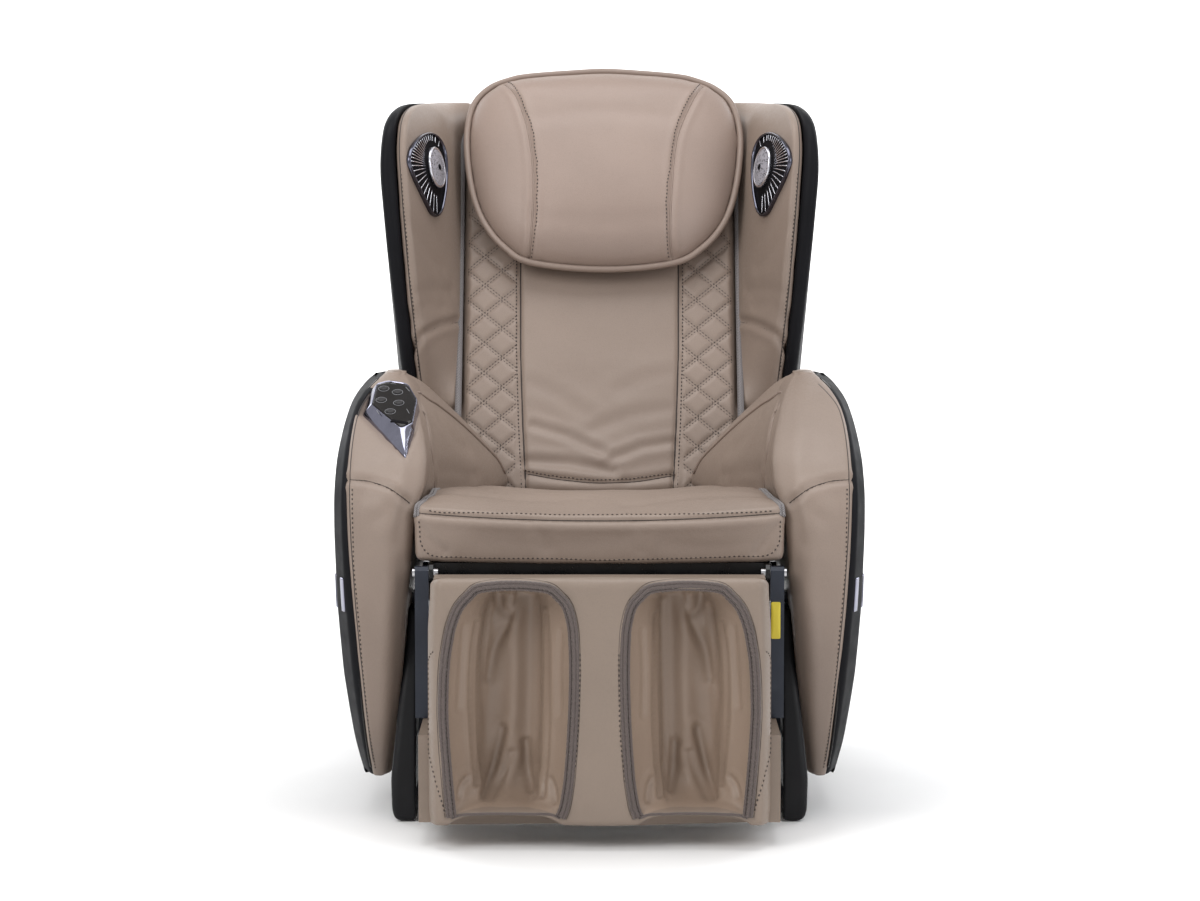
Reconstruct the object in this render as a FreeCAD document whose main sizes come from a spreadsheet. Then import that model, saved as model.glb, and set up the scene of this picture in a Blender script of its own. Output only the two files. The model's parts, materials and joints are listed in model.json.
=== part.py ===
import FreeCAD, Part
import math
import os
import Sketcher
from FreeCAD import Vector, Placement, Rotation

# Reclining massage chair.  +X is the sitter's left as seen from behind (right hand
# side from the front), -Y is the front, +Z is up, the floor is z = 0.
os.makedirs("parts", exist_ok=True)
doc = FreeCAD.newDocument("massage_chair")
sheet = doc.addObject("Spreadsheet::Sheet", "Dims")

D = {
    # overall
    "y_shift": -376.0875,       # brings the chair's depth to be centred on the origin
    "seat_half": 254.0,       # half width of the seat cushion
    "seat_front": 4.0,
    "seat_rear": 462.0,
    "seat_low": 364.0,
    "seat_top": 428.0,
    "rail_in": 256.0,         # floor rails, inner and outer faces
    "rail_out": 276.0,
    "rail_low": 12.0,
    "rail_top": 42.0,
    "rail_front": 25.0,
    "rail_rear": 690.0,
    "seat_rail_in": 216.0,
    "seat_rail_out": 240.0,
    "seat_rail_low": 308.0,
    "seat_rail_top": 351.0,
    "tube_wall": 2.0,
    "post_in": 240.0,
    "wheel_rad": 25.0,
    "wheel_bore": 4.05,
    "axle_rad": 4.0,
    # recline hinge and back
    "hinge_y": 520.0,
    "hinge_z": 330.0,
    "back_lean": 28.0,
    "hinge_pin_rad": 8.0,
    "pin_gap": 0.05,
    "back_half": 213.0,       # half width of the back cushion
    "back_front": -75.0,
    "back_rear": -30.0,
    "back_low": 30.0,
    "back_high": 712.0,
    "side_tube_in": 190.0,
    "side_tube_out": 212.0,
    "wing_out": 323.0,
    "cover_rear": 130.0,
    "cover_wall": 4.0,
    "pillow_half": 210.0,
    "pillow_front": -166.0,
    "pillow_low": 391.0,
    "pillow_high": 738.0,
    # massage mechanism
    "shaft_rad": 7.0,
    "roller_rad": 20.0,
    "roller_pitch": 55.0,
    "knead_z": 240.0,
    "knead_y": 32.0,
    # calf rest
    "calf_half": 226.0,
    "calf_front": -185.0,
    "calf_low": 32.0,
    "calf_high": 350.0,
    "well_in": 42.0,
    "well_out": 196.0,
    "well_back": -82.0,
    "calf_pin_y": -6.0,
    "calf_pin_z": 351.0,
    "calf_pin_rad": 6.0,
    # drives
    "rod_rad": 8.0,
    "tube_rad": 15.0,
    "drive_pin_rad": 5.0,
    # controls
    "button_rad": 5.5,
    "button_gap": 0.3,
    "arm_plate_in": 322.0,
    "arm_plate_out": 334.0,
}
for row, (alias, value) in enumerate(D.items(), start=1):
    sheet.set("A%d" % row, alias)
    sheet.set("B%d" % row, "%.4f" % value)
    sheet.setAlias("B%d" % row, alias)
doc.recompute()


def num(e):
    return D[e[0]] * e[1] + e[2] if isinstance(e, tuple) else float(e)


def txt(e):
    if isinstance(e, tuple):
        return "(Dims.%s * %.6f + (%.6f))" % (e[0], e[1], e[2])
    return "(%.6f)" % float(e)


def bound(*es):
    return any(isinstance(e, tuple) for e in es)


def p(alias, off=0.0):
    return (alias, 1.0, off)


def n(alias, off=0.0):
    return (alias, -1.0, off)


YS = D["y_shift"]
BASE = Placement(Vector(0, YS, 0), Rotation())
BACK = Placement(Vector(0, YS + D["hinge_y"], D["hinge_z"]),
                 Rotation(Vector(1, 0, 0), -D["back_lean"]))
nodes = {}


def node(label, obj):
    obj.Label = label
    nodes[label] = obj
    return obj


def box(name, x0, x1, y0, y1, z0, z1, frame=None):
    frame = BASE if frame is None else frame
    b = doc.addObject("Part::Box", name)
    for prop, a, c in (("Length", x0, x1), ("Width", y0, y1), ("Height", z0, z1)):
        setattr(b, prop, num(c) - num(a))
        if bound(a, c):
            b.setExpression(prop, "%s - %s" % (txt(c), txt(a)))
    b.Placement = frame.multiply(Placement(Vector(num(x0), num(y0), num(z0)), Rotation()))
    if frame is BASE:
        if bound(x0):
            b.setExpression("Placement.Base.x", txt(x0))
        b.setExpression("Placement.Base.y", "%s + Dims.y_shift" % txt(y0))
        if bound(z0):
            b.setExpression("Placement.Base.z", txt(z0))
    return b


def cyl_x(name, x0, x1, y, z, r, frame=None):
    frame = BASE if frame is None else frame
    c = doc.addObject("Part::Cylinder", name)
    c.Radius = num(r)
    c.Height = num(x1) - num(x0)
    if bound(r):
        c.setExpression("Radius", txt(r))
    if bound(x0, x1):
        c.setExpression("Height", "%s - %s" % (txt(x1), txt(x0)))
    c.Placement = frame.multiply(
        Placement(Vector(num(x0), num(y), num(z)), Rotation(Vector(0, 1, 0), 90)))
    return c


def cyl_z(name, z0, z1, x, y, r, frame=None):
    frame = BASE if frame is None else frame
    c = doc.addObject("Part::Cylinder", name)
    c.Radius = num(r)
    c.Height = num(z1) - num(z0)
    if bound(r):
        c.setExpression("Radius", txt(r))
    c.Placement = frame.multiply(Placement(Vector(num(x), num(y), num(z0)), Rotation()))
    return c


def cut(name, base, *tools):
    out = base
    for i, tool in enumerate(tools):
        k = doc.addObject("Part::Cut", "%s_cut%d" % (name, i))
        k.Base = out
        k.Tool = tool
        out = k
    return out


def fuse(name, *items):
    f = doc.addObject("Part::MultiFuse", name + "_fuse")
    f.Shapes = list(items)
    return f


def group(name, *items):
    g = doc.addObject("Part::Compound", name + "_set")
    g.Links = list(items)
    return g


def tube_box(name, x0, x1, y0, y1, z0, z1, along, frame=None):
    """A rectangular steel tube with open ends, running along x, y or z."""
    w = D["tube_wall"]
    o = box(name + "_o", x0, x1, y0, y1, z0, z1, frame)
    a = [num(x0), num(y0), num(z0)]
    b = [num(x1), num(y1), num(z1)]
    for i in range(3):
        grow = 1.0 if "xyz"[i] == along else -w
        a[i] -= grow
        b[i] += grow
    i_ = box(name + "_i", a[0], b[0], a[1], b[1], a[2], b[2], frame)
    return cut(name, o, i_)


def plane(body, role):
    for f in body.Origin.OriginFeatures:
        if f.Role == role:
            return f
    raise RuntimeError(role)


def sketch(body, name, role, offset, pts, circles=()):
    """Closed polygon of corner points, each held by its two distances from the
    sketch's origin, with optional round holes (x, y, r)."""
    s = body.newObject("Sketcher::SketchObject", name)
    s.AttachmentSupport = [(plane(body, role), "")]
    s.MapMode = "FlatFace"
    s.AttachmentOffset = Placement(Vector(0, 0, num(offset)), Rotation())
    if bound(offset):
        s.setExpression("AttachmentOffset.Base.z", txt(offset))
    c = len(pts)
    for i in range(c):
        a, b = pts[i], pts[(i + 1) % c]
        s.addGeometry(Part.LineSegment(Vector(num(a[0]), num(a[1]), 0),
                                       Vector(num(b[0]), num(b[1]), 0)))
    for i in range(c):
        s.addConstraint(Sketcher.Constraint("Coincident", i, 2, (i + 1) % c, 1))
    for i in range(c):
        for kind, e in (("DistanceX", pts[i][0]), ("DistanceY", pts[i][1])):
            v = num(e)
            if abs(v) < 1e-9:
                continue
            k = s.addConstraint(Sketcher.Constraint(kind, -1, 1, i, 1, v))
            if bound(e):
                s.setExpression("Constraints[%d]" % k, txt(e))
    for (cx, cy, r) in circles:
        g = s.addGeometry(Part.Circle(Vector(cx, cy, 0), Vector(0, 0, 1), num(r)))
        k = s.addConstraint(Sketcher.Constraint("Radius", g, num(r)))
        if bound(r):
            s.setExpression("Constraints[%d]" % k, txt(r))
        s.addConstraint(Sketcher.Constraint("DistanceX", -1, 1, g, 3, cx))
        s.addConstraint(Sketcher.Constraint("DistanceY", -1, 1, g, 3, cy))
    return s


def prism(name, x0, x1, pts, frame=None, role="YZ_Plane", circles=()):
    """Side profile (y, z) padded along x from x0 to x1."""
    frame = BASE if frame is None else frame
    body = doc.addObject("PartDesign::Body", name)
    s = sketch(body, name + "_sk", role, x0, pts, circles)
    pad = body.newObject("PartDesign::Pad", name + "_pad")
    pad.Profile = s
    pad.Length = num(x1) - num(x0)
    if bound(x0, x1):
        pad.setExpression("Length", "%s - %s" % (txt(x1), txt(x0)))
    body.Tip = pad
    body.Placement = frame
    return body


def loft(name, sections, frame=None, inner=None):
    """Ruled loft through plan polygons at rising z; inner sections are taken out."""
    frame = BASE if frame is None else frame
    body = doc.addObject("PartDesign::Body", name)
    sk = [sketch(body, "%s_s%d" % (name, i), "XY_Plane", z, pts)
          for i, (z, pts) in enumerate(sections)]
    lo = body.newObject("PartDesign::AdditiveLoft", name + "_loft")
    lo.Profile = sk[0]
    lo.Sections = sk[1:]
    lo.Ruled = True
    body.Tip = lo
    if inner:
        doc.recompute()
        si = [sketch(body, "%s_c%d" % (name, i), "XY_Plane", z, pts)
              for i, (z, pts) in enumerate(inner)]
        su = body.newObject("PartDesign::SubtractiveLoft", name + "_cut")
        su.Profile = si[0]
        su.Sections = si[1:]
        su.Ruled = True
        body.Tip = su
    body.Placement = frame
    return body


def both(fn):
    """Left (-x) and right (+x) copies: fn(side name, sign)."""
    return fn("left", -1), fn("right", 1)


def xs(sign, a, b):
    """x interval of a piece lying between |x| = a and |x| = b on one side."""
    def flip(e):
        return (e[0], -e[1], -e[2]) if isinstance(e, tuple) else -e
    return (a, b) if sign > 0 else (flip(b), flip(a))


# ---------------------------------------------------------------- floor frame
def rail(side, s):
    x0, x1 = xs(s, p("rail_in"), p("rail_out"))
    return tube_box("rail_" + side, x0, x1, p("rail_front"), p("rail_rear"),
                    p("rail_low"), p("rail_top"), "y")


node("base_rails", group("base_rails", *both(rail)))
bft = tube_box("bft", n("rail_in"), p("rail_in"), 180, 205, 12, 36, "x")

# the rear tube carries the two ears and the pin of the recline drive
REC_BASE = (572.0, 80.0)
rt = tube_box("brt", n("rail_in"), p("rail_in"), 560, 585, 12, 39, "x")
ears = [prism("rt_ear%d" % i, a, a + 6, [(561, 39), (584, 39), (584, 88), (578, 94),
                                        (566, 94), (561, 88)]) for i, a in enumerate((-22, 16))]
rt_pin = cyl_x("rt_pin", -22, 22, REC_BASE[0], REC_BASE[1], p("drive_pin_rad"))
node("base_cross_tubes", group("base_cross_tubes", bft, fuse("brt", rt, ears[0], ears[1], rt_pin)))


def posts(side, s):
    out = []
    for i, (a, b) in enumerate(((130, 160), (470, 500))):
        x0, x1 = xs(s, p("post_in"), p("rail_in"))
        out.append(tube_box("post_%s_%d" % (side, i), x0, x1, a, b, p("rail_low"),
                            p("seat_rail_low", -2.0), "z"))
    return out


pl, pr = both(posts)
node("side_posts", group("side_posts", *(pl + pr)))


def seat_rail(side, s):
    x0, x1 = xs(s, p("seat_rail_in"), p("seat_rail_out"))
    t = tube_box("srail_" + side, x0, x1, 29, 545, p("seat_rail_low"), p("seat_rail_top"), "y")
    # gusset that ties the rail to the posts
    g0, g1 = xs(s, p("seat_rail_in"), p("rail_in"))
    g = fuse("gus_" + side, t,
             box("g1_" + side, g0, g1, 130, 160, p("seat_rail_low", -2.0), p("seat_rail_low")),
             box("g2_" + side, g0, g1, 470, 500, p("seat_rail_low", -2.0), p("seat_rail_low")))
    h0, h1 = xs(s, p("seat_rail_in", -4), p("seat_rail_out", 4))
    return cut("srh_" + side, g, cyl_x("srhole_" + side, h0, h1, p("hinge_y"), p("hinge_z"),
                                       p("hinge_pin_rad", 0.05)))


node("seat_rails", group("seat_rails", *both(seat_rail)))
node("seat_rear_tube", tube_box("srt", n("seat_rail_in"), p("seat_rail_in"), 440, 465, 311, 336, "x"))

# front crossbar with its two pivot cheeks for the calf rest
CP = (D["calf_pin_y"], D["calf_pin_z"])
bar = tube_box("fbar", -228, 228, 9, 29, 343, 363, "x")


def cheek(side, s):
    x0, x1 = xs(s, 228, 234)
    k = prism("cheek_" + side, x0, x1, [(29, 343), (29, 363), (-12, 363), (-18, 357), (-18, 345),
                                        (-12, 339), (0, 339)])
    return cut("ck_" + side, k, cyl_x("ckh_" + side, x0, x1, p("calf_pin_y"), p("calf_pin_z"),
                                      p("calf_pin_rad", 0.05)))


cl, cr = both(cheek)
node("seat_front_crossbar", fuse("fbar", bar, cl, cr))


def calf_pin(side, s):
    x0, x1 = xs(s, 222, 257)
    return cyl_x("cpin_" + side, x0, x1, p("calf_pin_y"), p("calf_pin_z"), p("calf_pin_rad"))


node("calf_pivot_pins", group("calf_pivot_pins", *both(calf_pin)))


def rec_pin(side, s):
    x0, x1 = xs(s, 186, 244)
    return cyl_x("rpin_" + side, x0, x1, p("hinge_y"), p("hinge_z"), p("hinge_pin_rad"))


node("recline_pins", group("recline_pins", *both(rec_pin)))

node("seat_pan", box("seat_pan", -232, 232, 30, 455, p("seat_rail_top"), p("seat_low")))
node("seat_cushion", prism("seat_cushion", n("seat_half"), p("seat_half"), [
    (14, p("seat_low")), (p("seat_rear"), p("seat_low")), (p("seat_rear"), 414),
    (446, p("seat_top")), (30, p("seat_top")), (9, 420), (p("seat_front"), 408),
    (p("seat_front"), 374)]))


# ---------------------------------------------------------------- feet, wheels
def foot_cover(side, s):
    def q(x0, x1, y0, y1):
        a, b = (x0, x1) if s > 0 else (-x1, -x0)
        return [(a, y0), (b, y0), (b, y1), (a, y1)]
    return loft("foot_cover_" + side, [
        (2, q(277, 286, 20, 690)), (60, q(277, 288, 14, 690)),
        (150, q(262, 276, 18, 660)), (290, q(258, 266, 60, 430))])


node("foot_covers", group("foot_covers", *both(foot_cover)))


def foot(side, s):
    x0, x1 = xs(s, p("rail_in"), p("rail_out"))
    return box("foot_" + side, x0, x1, 36, 86, 0, p("rail_low"))


node("rubber_feet", group("rubber_feet", *both(foot)))
node("wheel_axle", cyl_x("wheel_axle", n("rail_in"), p("rail_in"), 655, p("wheel_rad"),
                         p("axle_rad")))


def wheel(side, s):
    x0, x1 = xs(s, 226, 246)
    w = cyl_x("wh_" + side, x0, x1, 655, p("wheel_rad"), p("wheel_rad"))
    y0, y1 = xs(s, 225, 247)
    return cut("wheel_" + side, w, cyl_x("whb_" + side, y0, y1, 655, p("wheel_rad"), p("wheel_bore")))


wl, wr = both(wheel)
node("wheel_left", wl)
node("wheel_right", wr)

# ---------------------------------------------------------------- tray, electrics
CALF_BASE = (330.0, 90.0)
tray = box("tray_plate", -238, 238, 205, 560, 36, 39)
tears = [prism("tr_ear%d" % i, a, a + 6, [(314, 39), (346, 39), (340, 98), (334, 104),
                                         (326, 104), (320, 98)]) for i, a in enumerate((-22, 16))]
tr_pin = cyl_x("tr_pin", -22, 22, CALF_BASE[0], CALF_BASE[1], p("drive_pin_rad"))
node("base_tray", fuse("tray", tray, tears[0], tears[1], tr_pin))
node("control_box", prism("control_box", 60, 200, [(350, 39), (520, 39), (520, 118), (512, 126),
                                                  (358, 126), (350, 118)]))
pump = box("pump_body", -200, -70, 350, 500, 39, 120)
heads = [cyl_z("pump_head%d" % i, 120, 146, x, 425, 30) for i, x in enumerate((-168, -102))]
node("air_pump", fuse("pump", pump, heads[0], heads[1]))
node("rear_skirt", box("rear_skirt", -255, 255, 684, 690, 55, 205))

inlet = prism("inlet_body", 120, 186, [(690, 100), (703, 100), (703, 140), (690, 140)])
recess1 = box("inlet_recess", 126, 152, 694, 706, 108, 132)
recess2 = box("switch_recess", 160, 178, 692, 706, 106, 134)
node("power_inlet", cut("inlet", inlet, recess1, recess2))
node("power_switch", prism("power_switch", 161.5, 176.5, [(695.5, 110), (700, 108.5), (704.5, 108.5),
                                                          (703.2, 120), (704.5, 131.5), (700, 131.5),
                                                          (695.5, 130)]))

# ---------------------------------------------------------------- arms
AZ = [45, 100, 200, 300, 400, 500, 560, 600]
XI = [300, 287, 276, 268.5, 257.5, 257.5, 262, 282]
XM = [318, 328, 336, 340, 343, 345, 338, 306]
XO = [330, 342, 355, 360.5, 364.5, 362, 350, 318]
YF = [130, 75, 25, 5, 3, 45, 120, 225]
YR = [205, 330, 470, 545, 575, 510, 400, 290]
TI = [9, 25, 45, 50, 52, 52, 45, 12]
BD = [40, 45, 45, 45, 45, 45, 45, 40]


def mir(s, pts):
    return [(s * x, y) for x, y in pts]


def arm_pad(side, s):
    secs = []
    for z, xi, xm, yf, yr, t, b in zip(AZ, XI, XM, YF, YR, TI, BD):
        secs.append((z, mir(s, [(xi, yf), (xm, yf), (xm, yf + b), (xi + t, yf + b),
                                (xi + t, yr), (xi, yr)])))
    pad = loft("armpad_" + side, secs)
    x0, x1 = (250, 324) if s > 0 else (-324, -250)
    tools = [box("ap_%s_%d" % (side, i), x0, x1, a, b, 290, 308)
             for i, (a, b) in enumerate(((130.5, 159.5), (470.5, 499.5)))]
    return pad, tools


CTRL = Placement(Vector(-294, 138 + YS, 573), Rotation(Vector(1, 0, 0), 28))
padl, tl = arm_pad("left", -1)
padr, tr = arm_pad("right", 1)
pod_room = box("pod_room", -46, 50, -106, 106, -16, 60, CTRL)
node("arm_pad_left", cut("arm_pad_left", padl, tl[0], tl[1], pod_room))
node("arm_pad_right", cut("arm_pad_right", padr, tr[0], tr[1]))


def arm_shell(side, s):
    def at(arr, z):
        for i in range(len(AZ) - 1):
            if AZ[i] <= z <= AZ[i + 1]:
                f = (z - AZ[i]) / float(AZ[i + 1] - AZ[i])
                return arr[i] + f * (arr[i + 1] - arr[i])
    secs, ins = [], []
    for z in AZ:
        xm, xo, yf, yr = at(XM, z), at(XO, z), at(YF, z), at(YR, z)
        secs.append((z, mir(s, [(xm + 1, yf + 12), (xo, yf + 32), (xo, yr - 8), (xm + 1, yr)])))
    for z in [50] + AZ[1:-1] + [595]:
        xm, xo, yf, yr = at(XM, z), at(XO, z), at(YF, z), at(YR, z)
        ins.append((z, mir(s, [(xm - 3, yf + 22), (xo - 4, yf + 38), (xo - 4, yr - 12), (xm - 3, yr - 5)])))
    return loft("arm_shell_" + side, secs, inner=ins)


sl, sr = both(arm_shell)
node("arm_shell_left", sl)
node("arm_shell_right", sr)


def arm_frame(side, s):
    x0, x1 = xs(s, p("arm_plate_in"), p("arm_plate_out"))
    plate = prism("aplate_" + side, x0, x1, [(130, 212), (425, 212), (500, 290), (500, 430),
                                            (430, 478), (150, 465)])
    y0, y1 = xs(s, p("rail_in"), p("arm_plate_in"))
    st = [box("astub_%s_%d" % (side, i), y0, y1, a, b, 292, 306)
          for i, (a, b) in enumerate(((132, 158), (472, 498)))]
    return fuse("arm_frame_" + side, plate, st[0], st[1])


node("arm_frames", group("arm_frames", *both(arm_frame)))


def arm_bag(side, s):
    x0, x1 = xs(s, 315, 321)
    return prism("abag_" + side, x0, x1, [(190, 366), (400, 366), (410, 376), (410, 465), (400, 475),
                                          (190, 475), (180, 465), (180, 376)])


node("arm_air_bags", group("arm_air_bags", *both(arm_bag)))


def trim(side, s):
    x0, x1 = xs(s, 364.6, 367)
    return prism("trim_" + side, x0, x1, [(70, 296), (112, 292), (118, 300), (118, 334), (76, 340),
                                          (70, 332)])


node("arm_trims", group("arm_trims", *both(trim)))


def hip(side, s):
    return loft("hip_pad_" + side, [
        (432, mir(s, [(255.5, 190), (255.5, 484), (150, 484), (158, 440)])),
        (535, mir(s, [(255.5, 330), (255.5, 538), (232, 538), (236, 505)]))])


node("hip_pads", group("hip_pads", *both(hip)))

# ---------------------------------------------------------------- arm controller
POD = [(-36, 19), (-23, 81), (-5, 93), (5, 98), (40, 31), (30, -43), (28, -98)]


def inset(poly, k):
    """Offset a clockwise-or-anticlockwise convex-ish polygon inwards by k."""
    cx = sum(q[0] for q in poly) / len(poly)
    cy = sum(q[1] for q in poly) / len(poly)
    lines = []
    for i in range(len(poly)):
        (ax, ay), (bx, by) = poly[i], poly[(i + 1) % len(poly)]
        dx, dy = bx - ax, by - ay
        ln = math.hypot(dx, dy)
        nx, ny = -dy / ln, dx / ln
        if nx * (cx - ax) + ny * (cy - ay) < 0:
            nx, ny = -nx, -ny
        lines.append(((ax + nx * k, ay + ny * k), (dx, dy)))
    out = []
    for i in range(len(poly)):
        (p1, d1), (p2, d2) = lines[i - 1], lines[i]
        det = d1[0] * d2[1] - d1[1] * d2[0]
        t = ((p2[0] - p1[0]) * d2[1] - (p2[1] - p1[1]) * d2[0]) / det
        out.append((p1[0] + t * d1[0], p1[1] + t * d1[1]))
    return out


pod = prism("pod", -14, 8, POD, CTRL, role="XY_Plane")
doc.recompute()
pk = sketch(pod, "pod_recess_sk", "XY_Plane", 8, inset(POD, 5.0))
pocket = pod.newObject("PartDesign::Pocket", "pod_recess")
pocket.Profile = pk
pocket.Length = 6.0
pod.Tip = pocket
node("controller_bezel", pod)
BUTTONS = {"button_power": (-9, 66), "button_program": (11, 56), "button_recline": (-11, 34),
           "button_upright": (14, 26), "button_speed": (3, 2)}
node("controller_panel", prism("ctrl_panel", 2.2, 6.0, inset(POD, 5.3), CTRL, role="XY_Plane",
                               circles=[(x, y, p("button_rad", D["button_gap"]))
                                        for x, y in BUTTONS.values()]))
for label, (bx, by) in BUTTONS.items():
    node(label, cyl_z(label, 4.0, 8.6, bx, by, p("button_rad"), CTRL))


# ---------------------------------------------------------------- back frame
def back_tube(side, s):
    x0, x1 = xs(s, p("side_tube_in"), p("side_tube_out"))
    t = tube_box("btube_" + side, x0, x1, -20, 20, -20, 700, "z", BACK)
    h0, h1 = xs(s, 184, 216)
    return cut("bth_" + side, t, cyl_x("bthole_" + side, h0, h1, 0, 0,
                                       p("hinge_pin_rad", D["pin_gap"]), BACK))


node("back_side_tubes", group("back_side_tubes", *both(back_tube)))
node("back_top_tube", tube_box("btt", n("side_tube_in"), p("side_tube_in"), -12, 22, 660, 690,
                               "x", BACK))
LUG = (70.0, 140.0)
bbt = tube_box("bbt", n("side_tube_in"), p("side_tube_in"), -12, 22, 32, 60, "x", BACK)
bears = [prism("b_ear%d" % i, a, a + 6, [(22, 34), (50, 34), (84, 132), (80, 148), (66, 154),
                                        (56, 144), (22, 58)], BACK) for i, a in enumerate((-20, 14))]
b_pin = cyl_x("b_pin", -20, 20, LUG[0], LUG[1], p("drive_pin_rad"), BACK)
node("back_bottom_tube", fuse("bbt", bbt, bears[0], bears[1], b_pin))


def guide(side, s):
    x0, x1 = xs(s, 150, 172)
    o = box("guide_o_" + side, x0, x1, 0, 30, 60, 660, BACK)
    a0, a1 = xs(s, 149, 163)
    b0, b1 = xs(s, 152, 170)
    return cut("guide_" + side, o, box("guide_s_" + side, a0, a1, 10, 20, 59, 661, BACK))


node("guide_rails", group("guide_rails", *both(guide)))
node("back_cushion", prism("back_cushion", n("back_half"), p("back_half"), [
    (p("back_rear"), p("back_low")), (-66, p("back_low")), (p("back_front"), 44),
    (p("back_front"), 700), (-64, p("back_high")), (p("back_rear"), p("back_high"))], BACK))

WING = [(-22, 216), (-75, 216), (-130, 262), (-230, 400), (-285, 510), (-285, 560), (-262, 592),
        (-200, 640), (-75, 712), (-22, 735)]


def wing_pad(side, s):
    x0, x1 = xs(s, 215, p("wing_out"))
    w = prism("wingpad_" + side, x0, x1, WING, BACK)
    doc.recompute()
    tri = mir(s, [(215, -75), (306, -300), (200, -300), (200, -75)])
    sk = sketch(w, "wing_slant_" + side, "XY_Plane", 800, tri)
    pk_ = w.newObject("PartDesign::Pocket", "wing_slantcut_" + side)
    pk_.Profile = sk
    pk_.Length = 800
    w.Tip = pk_
    return w


wpl, wpr = both(wing_pad)
node("wing_pad_left", wpl)
node("wing_pad_right", wpr)
WSH = [(130, 215), (-75, 212), (-131, 259), (-232, 398), (-289, 508), (-289, 562), (-265, 596),
       (-200, 645), (-75, 717), (0, 750), (62, 772), (104, 650), (130, 520)]


def wing_shell(side, s):
    x0, x1 = xs(s, p("wing_out", 1), p("wing_out", 9))
    return prism("wingshell_" + side, x0, x1, WSH, BACK)


node("wing_shells", group("wing_shells", *both(wing_shell)))
node("rear_cover", prism("rear_cover", n("wing_out"), p("wing_out"), [
    (p("cover_rear"), 150), (p("cover_rear"), 520), (104, 650), (62, 772), (0, 776), (0, 772),
    (59, 768), (100, 648.5), (126, 519.5), (126, 150)], BACK))


def speaker(side, s):
    psi = 22.0 * s
    x0, y0, z0 = 248.0 * s, -156.6, 535.0
    fr_ = BACK.multiply(Placement(Vector(x0, y0, z0), Rotation(Vector(0, 0, 1), psi)))
    a, b = (-9, -1.2) if s > 0 else (1.2, 9)
    return prism("speaker_" + side, a, b, [(30, 62), (-30, 64), (-85, 45), (-105, 20), (-80, -10),
                                           (-30, -55), (-4, -76), (8, -72), (36, -20), (40, 20)],
                 fr_)


node("speakers", group("speakers", *both(speaker)))
node("head_pillow", prism("head_pillow", n("pillow_half"), p("pillow_half"), [
    (-77, p("pillow_low")), (-150, 395), (p("pillow_front"), 420), (p("pillow_front"), 690),
    (-150, 718), (-115, p("pillow_high")), (-77, p("pillow_high"))], BACK))

# ---------------------------------------------------------------- massage carriage
KY, KZ = D["knead_y"], D["knead_z"]
plate = box("car_plate", -131, 131, 46, 50, 190, 290, BACK)
cps = []
for side, s in (("left", -1), ("right", 1)):
    a0, a1 = xs(s, 125, 131)
    cps.append(box("car_side_" + side, a0, a1, 8, 46, 200, 280, BACK))
    a0, a1 = xs(s, 131, 160)
    cps.append(box("car_tongue_" + side, a0, a1, 11, 19, 200, 280, BACK))
car = fuse("carriage", plate, *cps)
node("massage_carriage", cut("carriage", car, cyl_x("car_bore", -140, 140, p("knead_y"), p("knead_z"),
                                                    p("shaft_rad", D["pin_gap"]), BACK)))
mot = fuse("motor", box("gearcase", -34, 34, 50, 88, 200, 280, BACK),
           cyl_x("motor_can", 34, 110, 69, 240, 18, BACK))
node("massage_motor", mot)
RY = KY - 28.0
RP = D["roller_pitch"]
arms = [cyl_x("knead_shaft", -131, 131, p("knead_y"), p("knead_z"), p("shaft_rad"), BACK)]
for side, s in (("left", -1), ("right", 1)):
    x0, x1 = xs(s, 62, 72)
    arms.append(prism("knead_arm_" + side, x0, x1, [
        (KY + 11, KZ - 10), (KY + 11, KZ + 10), (RY + 8, KZ + RP + 6), (RY - 6, KZ + RP + 8),
        (RY - 8, KZ + RP - 6), (KY - 11, KZ), (RY - 8, KZ - RP + 6), (RY - 6, KZ - RP - 8),
        (RY + 8, KZ - RP - 6)], BACK))
    x0, x1 = xs(s, 62, 106)
    arms.append(cyl_x("spin_u_" + side, x0, x1, RY, KZ + RP, 5, BACK))
    arms.append(cyl_x("spin_l_" + side, x0, x1, RY, KZ - RP, 5, BACK))
node("kneading_arms", fuse("kneading_arms", *arms))
for lab, dz in (("upper_rollers", RP), ("lower_rollers", -RP)):
    rs = []
    for side, s in (("left", -1), ("right", 1)):
        x0, x1 = xs(s, 74, 104)
        r_ = cyl_x("%s_%s" % (lab, side), x0, x1, RY, KZ + dz, p("roller_rad"), BACK)
        y0, y1 = xs(s, 73, 105)
        rs.append(cut("%s_%s" % (lab, side), r_, cyl_x("%s_b_%s" % (lab, side), y0, y1, RY, KZ + dz,
                                                       5.05, BACK)))
    node(lab, group(lab, *rs))

# ---------------------------------------------------------------- calf rest
cc = box("calf_block", n("calf_half"), p("calf_half"), p("calf_front"), -62, p("calf_low"),
         p("calf_high"))
cw = []
for side, s in (("left", -1), ("right", 1)):
    x0, x1 = xs(s, p("well_in"), p("well_out"))
    cw.append(box("calf_well_" + side, x0, x1, p("calf_front", -5), p("well_back"),
                  p("calf_low", -5), p("calf_high", 5)))
node("calf_cushion", cut("calf_cushion", cc, *cw))
parts_ = [box("calf_case", n("calf_half"), p("calf_half"), -52, -15, p("calf_low"), p("calf_high"))]
for side, s in (("left", -1), ("right", 1)):
    x0, x1 = xs(s, p("calf_half"), 243)
    parts_.append(box("calf_plate_" + side, x0, x1, -150, 2, p("calf_low"), 150))
    x0, x1 = xs(s, p("calf_half"), 234.5)
    parts_.append(box("calf_boss_" + side, x0, x1, -50, 2, 150, 235))
for i, a in enumerate((-20, 14)):
    parts_.append(prism("calf_ear%d" % i, a, a + 6, [(-15, 278), (14, 290), (32, 296), (38, 307),
                                                     (32, 318), (14, 322), (-15, 322)]))
CLUG = (27.0, 307.0)
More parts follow.
